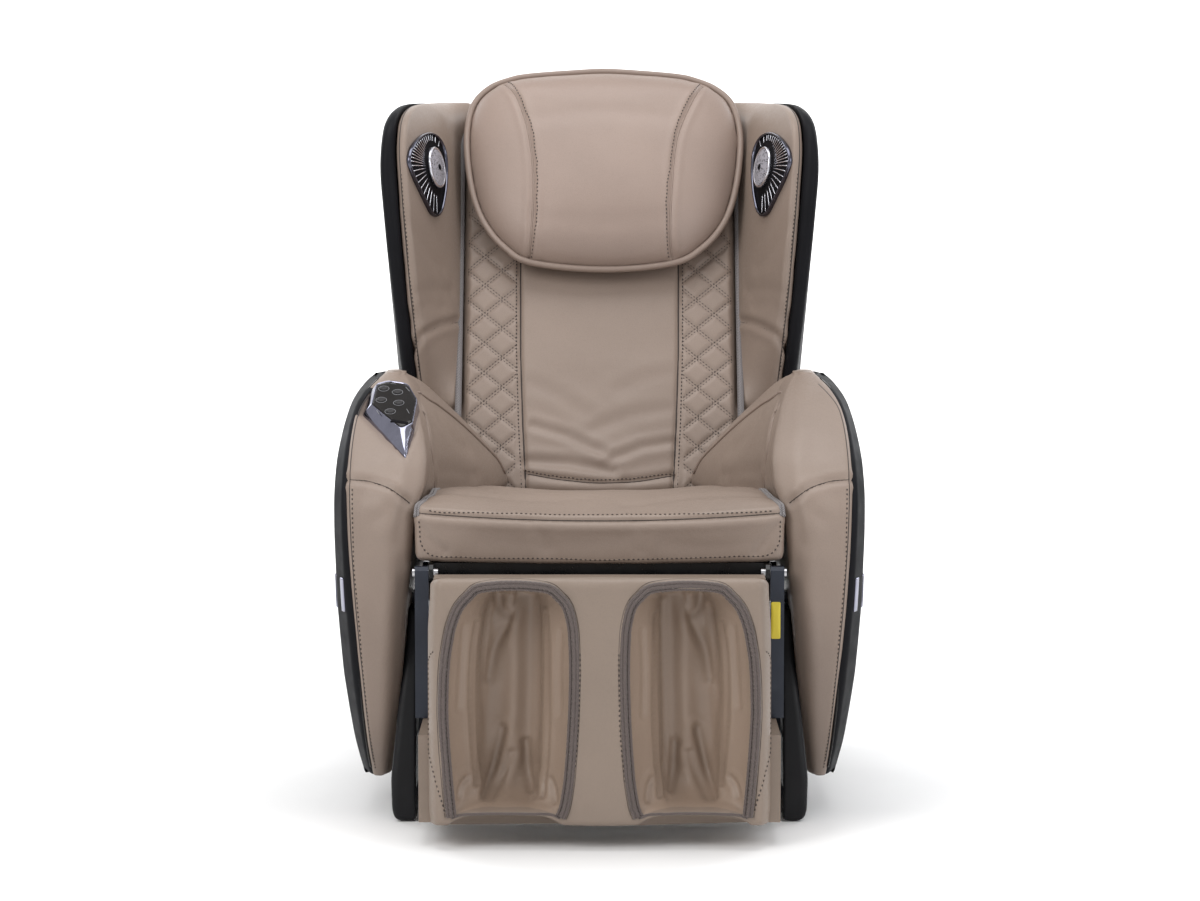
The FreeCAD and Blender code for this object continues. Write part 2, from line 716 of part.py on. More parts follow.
parts_.append(cyl_x("calf_lug_pin", -20, 20, CLUG[0], CLUG[1], p("drive_pin_rad")))
node("calf_case", fuse("calf_case", *parts_))


def calf_bag(side, s):
    x0, x1 = xs(s, 62, 178)
    return box("cbag_" + side, x0, x1, -61, -53, 80, 310)


node("calf_air_bags", group("calf_air_bags", *both(calf_bag)))


def link(side, s):
    x0, x1 = xs(s, 234.5, 253.5)
    y, z = CP
    k = prism("clink_" + side, x0, x1, [(y - 10, 151), (y + 10, 151), (y + 10, z + 4), (y + 6, z + 9),
                                        (y - 6, z + 9), (y - 10, z + 4)])
    return cut("cl_" + side, k, cyl_x("clh_" + side, x0, x1, p("calf_pin_y"), p("calf_pin_z"),
                                      p("calf_pin_rad", D["pin_gap"])))


node("calf_link_arms", group("calf_link_arms", *both(link)))


# ---------------------------------------------------------------- drives
def drive(tag, base, lug, tube_to, rod_from, ring_in, ring_out):
    """Electric drive: tube on its base pin, rod that slides in it, open ring end."""
    dy, dz = lug[0] - base[0], lug[1] - base[1]
    ln = math.hypot(dy, dz)
    ang = math.degrees(math.atan2(dz, dy))
    fr_ = Placement(Vector(0, base[0] + YS, base[1]), Rotation(Vector(1, 0, 0), ang - 90))
    eye = cyl_x(tag + "_eye", -12, 12, 0, 0, 12, fr_)
    tb = cyl_z(tag + "_tb", 6, tube_to, 0, 0, p("tube_rad"), fr_)
    gear = box(tag + "_gear", 10, 36, -14, 14, 26, 66, fr_)
    body = fuse(tag + "_body", eye, tb, gear)
    trim_ = [box(tag + "_t%d" % i, a, b, -20, 20, -14, 16, fr_)
             for i, (a, b) in enumerate(((-30, -12), (12, 60)))]
    tube = cut(tag + "_tube", body,
               cyl_x(tag + "_eb", -14, 14, 0, 0, p("drive_pin_rad", 0.06), fr_),
               cyl_z(tag + "_bore", 30, tube_to + 1, 0, 0, p("rod_rad", 0.06), fr_), *trim_)
    rod = cyl_z(tag + "_rodc", rod_from, ln - ring_in - 1, 0, 0, p("rod_rad"), fr_)
    ring = cyl_x(tag + "_ring", -9, 9, 0, ln, ring_out, fr_)
    rodf = fuse(tag + "_rodf", rod, ring)
    rodc = cut(tag + "_rod", rodf, cyl_x(tag + "_rh", -11, 11, 0, ln, ring_in, fr_))
    print(tag, "length %.2f angle %.3f" % (ln, ang))
    return tube, rodc


lean = math.radians(D["back_lean"])
lug_w = (D["hinge_y"] + LUG[0] * math.cos(lean) + LUG[1] * math.sin(lean),
         D["hinge_z"] - LUG[0] * math.sin(lean) + LUG[1] * math.cos(lean))
t_, r_ = drive("recline_drive", REC_BASE, lug_w, 236, 124, 9.5, 16)
node("recline_drive_tube", t_)
node("recline_drive_rod", r_)
t_, r_ = drive("calf_drive", CALF_BASE, CLUG, 262, 110, 14.2, 18.5)
node("calf_drive_tube", t_)
node("calf_drive_rod", r_)

# ---------------------------------------------------------------- check and write
doc.recompute()
bad = []
for o in doc.Objects:
    if any(k in ("Invalid", "Error") for k in o.State):
        bad.append("%s %s" % (o.Name, o.State))
for label, o in nodes.items():
    sh = o.Shape
    if sh.isNull() or not sh.isValid() or not sh.Solids:
        bad.append("%s: shape" % label)
if bad:
    raise RuntimeError("failed objects: " + "; ".join(bad))
if len(nodes) > 60:
    raise RuntimeError("too many nodes: %d" % len(nodes))
lo = [1e9] * 3
hi = [-1e9] * 3
for label, o in nodes.items():
    o.Shape.exportStep("parts/%s.step" % label)
    bb = o.Shape.BoundBox
    for i, (a, b) in enumerate(((bb.XMin, bb.XMax), (bb.YMin, bb.YMax), (bb.ZMin, bb.ZMax))):
        lo[i], hi[i] = min(lo[i], a), max(hi[i], b)
    print("%-22s solids %d vol %.0f  x %.1f..%.1f y %.1f..%.1f z %.1f..%.1f" % (
        label, len(o.Shape.Solids), o.Shape.Volume, bb.XMin, bb.XMax, bb.YMin, bb.YMax, bb.ZMin,
        bb.ZMax))
print("nodes", len(nodes), "box", [round(v, 3) for v in lo], [round(v, 3) for v in hi])
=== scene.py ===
import bpy
import bmesh
import json
import math
import numpy as np
from mathutils import Vector, Matrix
from mathutils.bvhtree import BVHTree

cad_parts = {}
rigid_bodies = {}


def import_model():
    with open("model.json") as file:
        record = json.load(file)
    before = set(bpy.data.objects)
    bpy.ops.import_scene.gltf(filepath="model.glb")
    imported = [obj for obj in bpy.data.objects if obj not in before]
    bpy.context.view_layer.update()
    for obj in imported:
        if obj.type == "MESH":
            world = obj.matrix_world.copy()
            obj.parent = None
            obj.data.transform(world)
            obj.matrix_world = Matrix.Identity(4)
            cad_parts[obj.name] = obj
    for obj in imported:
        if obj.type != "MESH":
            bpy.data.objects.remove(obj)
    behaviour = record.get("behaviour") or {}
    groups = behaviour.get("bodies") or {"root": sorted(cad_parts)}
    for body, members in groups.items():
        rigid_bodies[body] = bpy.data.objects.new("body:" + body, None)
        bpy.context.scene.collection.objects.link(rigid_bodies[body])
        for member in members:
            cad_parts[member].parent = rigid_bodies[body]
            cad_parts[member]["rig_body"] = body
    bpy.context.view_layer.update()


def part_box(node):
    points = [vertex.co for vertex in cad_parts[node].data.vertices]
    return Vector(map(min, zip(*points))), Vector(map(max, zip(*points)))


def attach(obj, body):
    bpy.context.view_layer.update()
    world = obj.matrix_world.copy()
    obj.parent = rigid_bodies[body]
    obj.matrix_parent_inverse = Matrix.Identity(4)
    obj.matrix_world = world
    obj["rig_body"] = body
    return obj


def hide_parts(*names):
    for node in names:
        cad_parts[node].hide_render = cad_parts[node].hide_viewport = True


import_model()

SC = bpy.context.scene
SC.view_settings.view_transform = "Standard"

# Lengths below are millimetres. "Work" points are (x, depth behind the arms' front plane, z);
# "lean" points are (x, y, z) in the upright frame of the reclining back.
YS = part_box("calf_cushion")[0][1] * 1000.0 + 185.0
LEAN = math.radians(28.0)
CL, SL = math.cos(LEAN), math.sin(LEAN)


def W(P):
    P = np.asarray(P, float)
    return np.stack([P[..., 0], P[..., 1] + YS, P[..., 2]], -1) / 1000.0


def L(P):
    P = np.asarray(P, float)
    y = YS + 520.0 + P[..., 1] * CL + P[..., 2] * SL
    z = 330.0 - P[..., 1] * SL + P[..., 2] * CL
    return np.stack([P[..., 0], y, z], -1) / 1000.0


# ------------------------------------------------------------------ curves
def cr_closed(P, per):
    P = np.asarray(P, float)
    m = len(P)
    t = np.linspace(0, 1, per, endpoint=False)[:, None]
    out = []
    for i in range(m):
        a, b, c, d = P[i - 1], P[i], P[(i + 1) % m], P[(i + 2) % m]
        out.append(0.5 * ((2 * b) + (c - a) * t + (2 * a - 5 * b + 4 * c - d) * t ** 2
                          + (3 * b - a - 3 * c + d) * t ** 3))
    return np.concatenate(out)


def cr_open(P, n):
    P = np.asarray(P, float)
    Q = np.concatenate([[2 * P[0] - P[1]], P, [2 * P[-1] - P[-2]]])
    per = max(4, int(math.ceil(n / (len(P) - 1))) * 2)
    t = np.linspace(0, 1, per, endpoint=False)[:, None]
    out = []
    for i in range(1, len(Q) - 2):
        a, b, c, d = Q[i - 1], Q[i], Q[i + 1], Q[i + 2]
        out.append(0.5 * ((2 * b) + (c - a) * t + (2 * a - 5 * b + 4 * c - d) * t ** 2
                          + (3 * b - a - 3 * c + d) * t ** 3))
    out.append(P[-1:])
    return resample(np.concatenate(out), n)


def resample(P, n=None, step=None, closed=False):
    P = np.asarray(P, float)
    if closed:
        P = np.concatenate([P, P[:1]])
    s = np.concatenate([[0], np.cumsum(np.linalg.norm(np.diff(P, axis=0), axis=1))])
    if n is None:
        n = max(2, int(round(s[-1] / step)) + 1)
    g = np.linspace(0, s[-1], n + 1)[:-1] if closed else np.linspace(0, s[-1], n)
    return np.stack([np.interp(g, s, P[:, k]) for k in range(P.shape[1])], -1)


def S(xs, ys, w=None):
    """Smooth curve through a list of values."""
    xs, ys = np.array(xs, float), np.array(ys, float)
    g = np.linspace(xs[0], xs[-1], 801)
    v = np.interp(g, xs, ys)
    step = g[1] - g[0]
    w = w or (xs[-1] - xs[0]) / 45.0
    r = int(3 * w / step) + 1
    k = np.exp(-0.5 * (np.arange(-r, r + 1) * step / w) ** 2)
    k /= k.sum()
    vp = np.concatenate([2 * v[0] - v[r:0:-1], v, 2 * v[-1] - v[-2:-r - 2:-1]])
    v2 = np.convolve(vp, k, "valid")
    return lambda x: np.interp(x, g, v2)


def waves(P, scale, seed, n=7, stretch=None):
    P = np.asarray(P, float)
    if stretch is not None:
        P = P / np.asarray(stretch, float)
    r = np.random.RandomState(seed)
    out = np.zeros(P.shape[:-1])
    for _ in range(n):
        k = r.normal(size=P.shape[-1])
        k /= np.linalg.norm(k)
        out += np.sin(P @ k * (2 * math.pi / scale) * (0.6 + 0.9 * r.rand()) + 6.28 * r.rand())
    return out / math.sqrt(n / 2.0)


def polydist(P, C):
    """Distance of 2-D points to a polyline."""
    P, C = np.asarray(P, float), np.asarray(C, float)
    best = np.full(len(P), 1e9)
    for a, b in zip(C[:-1], C[1:]):
        d = b - a
        t = np.clip(((P - a) @ d) / max(d @ d, 1e-9), 0, 1)
        q = a + t[:, None] * d
        best = np.minimum(best, np.hypot(*(P - q).T))
    return best


def inside(P, C):
    P, C = np.asarray(P, float), np.asarray(C, float)
    r = np.zeros(len(P), bool)
    for a, b in zip(C, np.roll(C, -1, 0)):
        m = (a[1] > P[:, 1]) != (b[1] > P[:, 1])
        with np.errstate(divide="ignore", invalid="ignore"):
            xx = (b[0] - a[0]) * (P[:, 1] - a[1]) / (b[1] - a[1]) + a[0]
        r ^= m & (P[:, 0] < xx)
    return r


def sstep(x, a, b):
    t = np.clip((np.asarray(x, float) - a) / (b - a), 0, 1)
    return t * t * (3 - 2 * t)


# ------------------------------------------------------------------ meshes
def make(name, V, F, mat, body, rep=(), smooth=True, outward=True):
    me = bpy.data.meshes.new(name)
    me.from_pydata(np.asarray(V, float).tolist(), [], F)
    me.validate()
    if outward:
        bm = bmesh.new()
        bm.from_mesh(me)
        bmesh.ops.recalc_face_normals(bm, faces=bm.faces)
        bm.to_mesh(me)
        bm.free()
    me.materials.append(mat)
    me.polygons.foreach_set("use_smooth", [smooth] * len(me.polygons))
    me.update()
    o = bpy.data.objects.new(name, me)
    SC.collection.objects.link(o)
    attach(o, body)
    if rep:
        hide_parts(*rep)
    return o


def rings(R, cap0=True, cap1=True):
    R = np.asarray(R, float)
    k, n, _ = R.shape
    V = R.reshape(-1, 3).tolist()
    F = []
    for i in range(k - 1):
        for j in range(n):
            jn = (j + 1) % n
            F.append((i * n + j, i * n + jn, (i + 1) * n + jn, (i + 1) * n + j))
    if cap0:
        F.append(tuple(range(n))[::-1])
    if cap1:
        F.append(tuple((k - 1) * n + j for j in range(n)))
    return V, F


def tube_vf(P, r, sides=10, closed=False, flat=1.0, up=None):
    P = np.asarray(P, float)
    n = len(P)
    T = np.roll(P, -1, 0) - np.roll(P, 1, 0) if closed else np.gradient(P, axis=0)
    T /= np.maximum(np.linalg.norm(T, axis=1), 1e-12)[:, None]
    ref = np.array([0.0, 0.0, 1.0]) if up is None else np.asarray(up, float)
    a = np.cross(T[0], ref)
    if np.linalg.norm(a) < 1e-3:
        a = np.cross(T[0], [1.0, 0, 0])
    a /= np.linalg.norm(a)
    rr = np.full(n, r) if np.isscalar(r) else np.asarray(r, float)
    R = []
    for i in range(n):
        a = a - T[i] * (a @ T[i])
        a /= max(np.linalg.norm(a), 1e-12)
        b = np.cross(T[i], a)
        th = np.linspace(0, 2 * math.pi, sides, endpoint=False)
        R.append(P[i] + rr[i] * (np.cos(th)[:, None] * a + flat * np.sin(th)[:, None] * b))
    V, F = rings(R, not closed, not closed)
    if closed:
        k = len(R)
        for j in range(sides):
            jn = (j + 1) % sides
            F.append(((k - 1) * sides + j, (k - 1) * sides + jn, jn, j))
    return V, F


def join(parts):
    V, F = [], []
    for v, f in parts:
        o = len(V)
        V.extend(v)
        F.extend([tuple(i + o for i in q) for q in f])
    return V, F


def stitch_vf(P, N, pitch=0.0072, half=0.0022, wide=0.00115, lift=0.0004):
    """Small lens-shaped threads laid along a curve on a surface."""
    P, N = np.asarray(P, float), np.asarray(N, float)
    s = np.concatenate([[0], np.cumsum(np.linalg.norm(np.diff(P, axis=0), axis=1))])
    g = np.arange(pitch * 0.5, s[-1], pitch)
    if len(g) == 0:
        return [], []
    C = np.stack([np.interp(g, s, P[:, k]) for k in range(3)], -1)
    M = np.stack([np.interp(g, s, N[:, k]) for k in range(3)], -1)
    T = np.gradient(C, axis=0) if len(C) > 1 else np.array([P[-1] - P[0]])
    T /= np.maximum(np.linalg.norm(T, axis=1), 1e-12)[:, None]
    M -= T * (M * T).sum(1)[:, None]
    M /= np.maximum(np.linalg.norm(M, axis=1), 1e-12)[:, None]
    B = np.cross(T, M)
    V, F = [], []
    for c, t, m, b in zip(C + M * lift, T, M, B):
        o = len(V)
        for q in (c - t * half, c + t * half, c - b * wide, c + b * wide, c - m * wide, c + m * wide):
            V.append(q.tolist())
        F += [(o, o + 3, o + 5), (o + 3, o + 1, o + 5), (o + 1, o + 2, o + 5), (o + 2, o, o + 5),
              (o, o + 4, o + 3), (o + 3, o + 4, o + 1), (o + 1, o + 4, o + 2), (o + 2, o + 4, o)]
    return V, F


def tree(o):
    return BVHTree.FromPolygons([v.co[:] for v in o.data.vertices],
                                [tuple(p.vertices) for p in o.data.polygons])


def drop(t, pts, direction, back=0.3, lift=0.0):
    """Projects points onto a mesh along a direction; returns surface points and normals."""
    d = Vector(direction).normalized()
    H, N = [], []
    for q in pts:
        hit = t.ray_cast(Vector(q) - d * back, d)
        if hit[0] is None:
            continue
        n = hit[1] if hit[1].dot(d) < 0 else -hit[1]
        H.append(np.array(hit[0] + n * lift))
        N.append(np.array(n))
    return np.array(H).reshape(-1, 3), np.array(N).reshape(-1, 3)


# ------------------------------------------------------------------ materials
def srgb(r, g, b):
    f = lambda c: (c / 255.0 / 12.92) if c <= 10 else ((c / 255.0 + 0.055) / 1.055) ** 2.4
    return (f(r), f(g), f(b), 1.0)


def shade(c, k):
    return (min(1, c[0] * k), min(1, c[1] * k), min(1, c[2] * k), 1.0)


class M:
    def __init__(self, name):
        self.m = bpy.data.materials.new(name)
        self.m.use_nodes = True
        self.t = self.m.node_tree
        self.b = self.t.nodes["Principled BSDF"]
        tc = self.t.nodes.new("ShaderNodeTexCoord")
        self.co = tc.outputs["Object"]
        self.h = None

    def n(self, kind, **kw):
        x = self.t.nodes.new(kind)
        for k, v in kw.items():
            if k.startswith("i_"):
                x.inputs[k[2:].replace("_", " ")].default_value = v
            else:
                setattr(x, k, v)
        return x

    def link(self, a, b):
        self.t.links.new(a, b)

    def scaled(self, v):
        mp = self.n("ShaderNodeMapping")
        mp.inputs["Scale"].default_value = v
        self.link(self.co, mp.inputs["Vector"])
        return mp.outputs["Vector"]

    def noise(self, scale, detail=3.0, rough=0.55, co=None):
        x = self.n("ShaderNodeTexNoise")
        x.inputs["Scale"].default_value = scale
        x.inputs["Detail"].default_value = detail
        x.inputs["Roughness"].default_value = rough
        self.link(co or self.co, x.inputs["Vector"])
        return x.outputs["Fac"]

    def voronoi(self, scale, feature="DISTANCE_TO_EDGE", co=None):
        x = self.n("ShaderNodeTexVoronoi")
        x.feature = feature
        x.inputs["Scale"].default_value = scale
        self.link(co or self.co, x.inputs["Vector"])
        return x.outputs["Distance"]

    def ramp(self, fac, stops):
        x = self.n("ShaderNodeValToRGB")
        e = x.color_ramp.elements
        while len(e) < len(stops):
            e.new(0.5)
        for k, (p, c) in zip(e, stops):
            k.position = p
            k.color = c if isinstance(c, tuple) else (c, c, c, 1)
        self.link(fac, x.inputs["Fac"])
        return x.outputs["Color"]

    def bump(self, height, strength, dist):
        x = self.n("ShaderNodeBump")
        x.inputs["Strength"].default_value = strength
        x.inputs["Distance"].default_value = dist
        self.link(height, x.inputs["Height"])
        if self.h is not None:
            self.link(self.h, x.inputs["Normal"])
        self.h = x.outputs["Normal"]

    def done(self):
        if self.h is not None:
            self.link(self.h, self.b.inputs["Normal"])
        return self.m


def leather(name, c, rough=0.46, grain=1.0, wrinkle=1.0, dark=0.82):
    m = M(name)
    big = m.noise(5.0, 4.0)
    col = m.ramp(big, [(0.30, shade(c, 0.93)), (0.72, shade(c, 1.06))])
    pores = m.voronoi(620.0)
    fine = m.noise(260.0, 4.0, 0.6)
    mix = m.n("ShaderNodeMix", data_type="RGBA", blend_type="MULTIPLY")
    mix.inputs["Factor"].default_value = 0.55
    m.link(col, mix.inputs["A"])
    m.link(m.ramp(pores, [(0.0, (dark, dark, dark, 1)), (0.16, (1, 1, 1, 1))]), mix.inputs["B"])
    m.link(mix.outputs["Result"], m.b.inputs["Base Color"])
    m.link(m.ramp(fine, [(0.3, rough - 0.06), (0.7, rough + 0.09)]), m.b.inputs["Roughness"])
    m.bump(m.noise(16.0, 5.0, 0.55), 0.22 * wrinkle, 0.004)
    m.bump(m.noise(95.0, 3.0, 0.5), 0.16 * wrinkle, 0.0012)
    m.bump(m.ramp(pores, [(0.0, 0.0), (0.22, 1.0)]), 0.20 * grain, 0.00035)
    m.bump(fine, 0.12 * grain, 0.0003)
    m.b.inputs["Specular IOR Level"].default_value = 0.42
    m.b.inputs["Coat Weight"].default_value = 0.06
    m.b.inputs["Coat Roughness"].default_value = 0.38
    return m.done()


def thread(name, c, k=900.0):
    m = M(name)
    wv = m.n("ShaderNodeTexWave")
    wv.inputs["Scale"].default_value = k
    wv.inputs["Distortion"].default_value = 2.0
    m.link(m.co, wv.inputs["Vector"])
    m.link(m.ramp(wv.outputs["Fac"], [(0.2, shade(c, 0.72)), (0.8, shade(c, 1.15))]),
           m.b.inputs["Base Color"])
    m.bump(wv.outputs["Fac"], 0.5, 0.0003)
    m.b.inputs["Roughness"].default_value = 0.62
    m.b.inputs["Sheen Weight"].default_value = 0.15
    return m.done()


def woven(name, c, scale=700.0):
    """Ribbed woven band of the piping."""
    m = M(name)
    w1 = m.n("ShaderNodeTexWave", bands_direction="DIAGONAL")
    w1.inputs["Scale"].default_value = scale * 0.35
    w1.inputs["Distortion"].default_value = 1.5
    m.link(m.co, w1.inputs["Vector"])
    nz = m.noise(900.0, 2.0)
    mx = m.n("ShaderNodeMath", operation="MULTIPLY")
    m.link(w1.outputs["Fac"], mx.inputs[0])
    m.link(nz, mx.inputs[1])
    m.link(m.ramp(mx.outputs[0], [(0.12, shade(c, 0.55)), (0.5, shade(c, 1.35))]),
           m.b.inputs["Base Color"])
    m.link(m.ramp(nz, [(0.3, 0.42), (0.7, 0.66)]), m.b.inputs["Roughness"])
    m.bump(w1.outputs["Fac"], 0.55, 0.0008)
    m.bump(nz, 0.3, 0.0004)
    m.b.inputs["Sheen Weight"].default_value = 0.25
    return m.done()


def plastic(name, c, rough=0.38, grain=1.0, coat=0.0, worn=1.25, spec=0.45):
    m = M(name)
    nz = m.noise(9.0, 5.0)
    m.link(m.ramp(nz, [(0.25, shade(c, 0.86)), (0.8, shade(c, worn))]), m.b.inputs["Base Color"])
    fine = m.noise(850.0, 2.0, 0.5)
    m.link(m.ramp(m.noise(40.0, 4.0), [(0.3, rough - 0.05), (0.75, rough + 0.08)]),
           m.b.inputs["Roughness"])
    m.bump(fine, 0.10 * grain, 0.0002)
    m.b.inputs["Specular IOR Level"].default_value = spec
    if coat:
        m.b.inputs["Coat Weight"].default_value = coat
        m.b.inputs["Coat Roughness"].default_value = 0.06
    return m.done()


def metal(name, c, rough=0.2, brushed=0.0, metallic=1.0, grain=0.4):
    m = M(name)
    co = m.scaled((1.0, 1.0, 30.0) if brushed else (1.0, 1.0, 1.0))
    nz = m.noise(60.0, 4.0, 0.6, co)
    m.link(m.ramp(nz, [(0.3, shade(c, 0.9)), (0.7, shade(c, 1.08))]), m.b.inputs["Base Color"])
    m.link(m.ramp(m.noise(25.0, 4.0, 0.6, co), [(0.3, max(0.02, rough - 0.05)), (0.75, rough + 0.09)]),
           m.b.inputs["Roughness"])
    m.bump(m.noise(500.0, 3.0, 0.5, co), 0.06 * grain + 0.10 * brushed, 0.0002)
    m.b.inputs["Metallic"].default_value = metallic
    return m.done()


def paint(name, c, rough=0.34):
    """Powder coat: orange peel and slightly worn."""
    m = M(name)
    m.link(m.ramp(m.noise(14.0, 5.0), [(0.3, shade(c, 0.85)), (0.75, shade(c, 1.3))]),
           m.b.inputs["Base Color"])
    m.link(m.ramp(m.noise(50.0, 3.0), [(0.3, rough - 0.06), (0.7, rough + 0.08)]),
           m.b.inputs["Roughness"])
    m.bump(m.noise(650.0, 2.0), 0.22, 0.0003)
    m.b.inputs["Metallic"].default_value = 0.25
    return m.done()


def wood(name, c):
    m = M(name)
    wv = m.n("ShaderNodeTexWave", bands_direction="Y")
    wv.inputs["Scale"].default_value = 9.0
    wv.inputs["Distortion"].default_value = 7.0
    wv.inputs["Detail"].default_value = 4.0
    m.link(m.scaled((1.0, 6.0, 6.0)), wv.inputs["Vector"])
    m.link(m.ramp(wv.outputs["Fac"], [(0.2, shade(c, 0.7)), (0.8, shade(c, 1.15))]),
           m.b.inputs["Base Color"])
    m.b.inputs["Roughness"].default_value = 0.6
    m.bump(wv.outputs["Fac"], 0.25, 0.0006)
    return m.done()


def mesh_disc(name, c):
    """Perforated loudspeaker metal: rows of small dark holes."""
    m = M(name)
    v = m.voronoi(300.0, "F1", m.co)
    hole = m.ramp(v, [(0.30, (0.02, 0.02, 0.025, 1)), (0.40, c)])
    m.link(hole, m.b.inputs["Base Color"])
    m.link(m.ramp(v, [(0.30, 0.7), (0.42, 0.25)]), m.b.inputs["Roughness"])
    m.bump(m.ramp(v, [(0.28, 0.0), (0.40, 1.0)]), 0.6, 0.0006)
    m.b.inputs["Metallic"].default_value = 0.25
    return m.done()


TAUPE = srgb(140, 124, 113)
M_LEA = leather("leather_taupe", TAUPE)
M_PIL = leather("leather_pillow", srgb(146, 128, 118), rough=0.43, wrinkle=0.8)
# darker copy of the taupe leather: painted shade for the calf rest and its case
M_CALF_SHADED = leather("leather_calf_shaded", srgb(134, 119, 107), rough=0.45)
M_LIN = leather("leather_liner", srgb(149, 130, 115), rough=0.42, wrinkle=1.2)
M_STI = thread("thread_brown", srgb(52, 40, 34))
M_STL = leather("leather_fold", srgb(152, 134, 120), rough=0.5)
M_WELT = leather("leather_welt", srgb(138, 121, 111), rough=0.42)
M_PIPE = woven("piping_grey_brown", srgb(92, 80, 76))
M_SATIN = woven("piping_satin", srgb(122, 117, 118), scale=500.0)
M_SHELL = plastic("shell_black", srgb(23, 23, 26), rough=0.5, spec=0.08)
M_FOOT = plastic("foot_black", srgb(15, 15, 18), rough=0.5, spec=0.25)
M_GLOSS = plastic("gloss_black", srgb(18, 14, 13), rough=0.2, grain=0.2, coat=0.1, spec=0.2)
M_RIM = metal("speaker_rim", (0.11, 0.11, 0.14, 1), rough=0.14, grain=0.1)
M_CHROME = metal("chrome_smoked", (0.27, 0.27, 0.34, 1), rough=0.12, grain=0.1)
M_GUN = metal("gunmetal", (0.075, 0.072, 0.085, 1), rough=0.2, grain=0.1)
M_STEEL = paint("frame_powder", srgb(34, 39, 50))
M_BLACKBAR = paint("bar_powder", srgb(12, 12, 14), rough=0.30)
M_BARE = metal("bare_steel", (0.56, 0.56, 0.58, 1), rough=0.26, brushed=1.0)
M_ALU = metal("aluminium", (0.62, 0.62, 0.64, 1), rough=0.32, brushed=1.0)
M_WOOD = wood("plywood", srgb(178, 142, 98))
M_RUB = plastic("rubber", srgb(24, 24, 24), rough=0.8, grain=3.0)
M_WHEEL = plastic("wheel_nylon", srgb(38, 38, 41), rough=0.5)
M_DRIVE = plastic("drive_housing", srgb(52, 53, 57), rough=0.5)
M_BTN = plastic("button_soft", srgb(38, 36, 38), rough=0.35, spec=0.3)
M_ICON = plastic("icon_grey", srgb(120, 120, 124), rough=0.5)
M_BAG = plastic("airbag_cloth", srgb(92, 96, 104), rough=0.7, grain=4.0)
M_DISC = mesh_disc("speaker_mesh", srgb(172, 172, 182))
M_SLAT = metal("speaker_slat", (0.72, 0.72, 0.78, 1), rough=0.22, grain=0.15)
M_DARK = plastic("speaker_dark", srgb(20, 19, 22), rough=0.6, spec=0.04)
M_LABEL = plastic("label_plain", srgb(216, 196, 62), rough=0.5, worn=1.05)


# ------------------------------------------------------------------ shaping helpers
def rpoly(P, R, k=5, m=3):
    """Closed loop with rounded corners and a fixed number of points."""
    P = [np.array(p, float) for p in P]
    n = len(P)
    arcs = []
    for i in range(n):
        a, b, c = P[i - 1], P[i], P[(i + 1) % n]
        u, v = a - b, c - b
        lu, lv = max(np.linalg.norm(u), 1e-6), max(np.linalg.norm(v), 1e-6)
        u, v = u / lu, v / lv
        ang = math.acos(max(-1.0, min(1.0, float(u @ v))))
        t = min(R[i] / max(math.tan(ang / 2), 1e-3), lu * 0.48, lv * 0.48)
        q = np.linspace(0, 1, k + 1)[:, None]
        s, e = b + u * t, b + v * t
        arcs.append((1 - q) ** 2 * s + 2 * q * (1 - q) * b + q ** 2 * e)
    out = []
    for i in range(n):
        mm = m if np.isscalar(m) else m[i]
        out.append(arcs[i])
        q = np.linspace(0, 1, mm + 2)[1:-1][:, None]
        out.append(arcs[i][-1] + (arcs[(i + 1) % n][0] - arcs[i][-1]) * q)
    return np.concatenate(out)


def inset(P, e):
    """Moves a closed 2-D loop inwards by about e, without turning it inside out."""
    c = P.mean(0)
    h = (P.max(0) - P.min(0)) / 2
    k = np.maximum(0.04, (h - e) / np.maximum(h, 1e-6))
    mid = (P.max(0) + P.min(0)) / 2
    return mid + (P - mid) * k


def kd(pts):
    from mathutils.kdtree import KDTree
    t = KDTree(len(pts))
    for i, p in enumerate(pts):
        t.insert(Vector(p), i)
    t.balance()
    return t


def crease(o, pts, depth, width, bulge=0.0):
    """Presses a sewn valley into a mesh along a line of points; the leather swells a little beside it."""
    if len(pts) < 2:
        return
    pts = resample(np.asarray(pts, float), step=0.003)
    t = kd(pts)
    me = o.data
    me.update()
    n = len(me.vertices)
    co = np.empty(n * 3)
    me.vertices.foreach_get("co", co)
    co = co.reshape(-1, 3)
    no = np.array([v.normal[:] for v in me.vertices])
    lo, hi = pts.min(0) - 5 * width, pts.max(0) + 5 * width
    for i in np.where(((co > lo) & (co < hi)).all(1))[0]:
        d = t.find(Vector(co[i]))[2]
        if d < 5 * width:
            co[i] += no[i] * (-depth * math.exp(-(d / width) ** 2)
                              + bulge * math.exp(-((d - 2.4 * width) / (1.3 * width)) ** 2))
    me.vertices.foreach_set("co", co.ravel())
    me.update()


def both_sides(f):
    f(-1)
    f(1)


def steady(A, w):
    """Moving average along a line of points, ends kept."""
    A = np.asarray(A, float)
    if len(A) < w + 2:
        return A
    h = w // 2
    Q = np.concatenate([np.repeat(A[:1], h, 0), A, np.repeat(A[-1:], h, 0)])
    c = np.cumsum(np.concatenate([np.zeros((1, A.shape[1])), Q]), 0)
    out = (c[w:] - c[:-w]) / w
    out[0], out[-1] = A[0], A[-1]
    return out


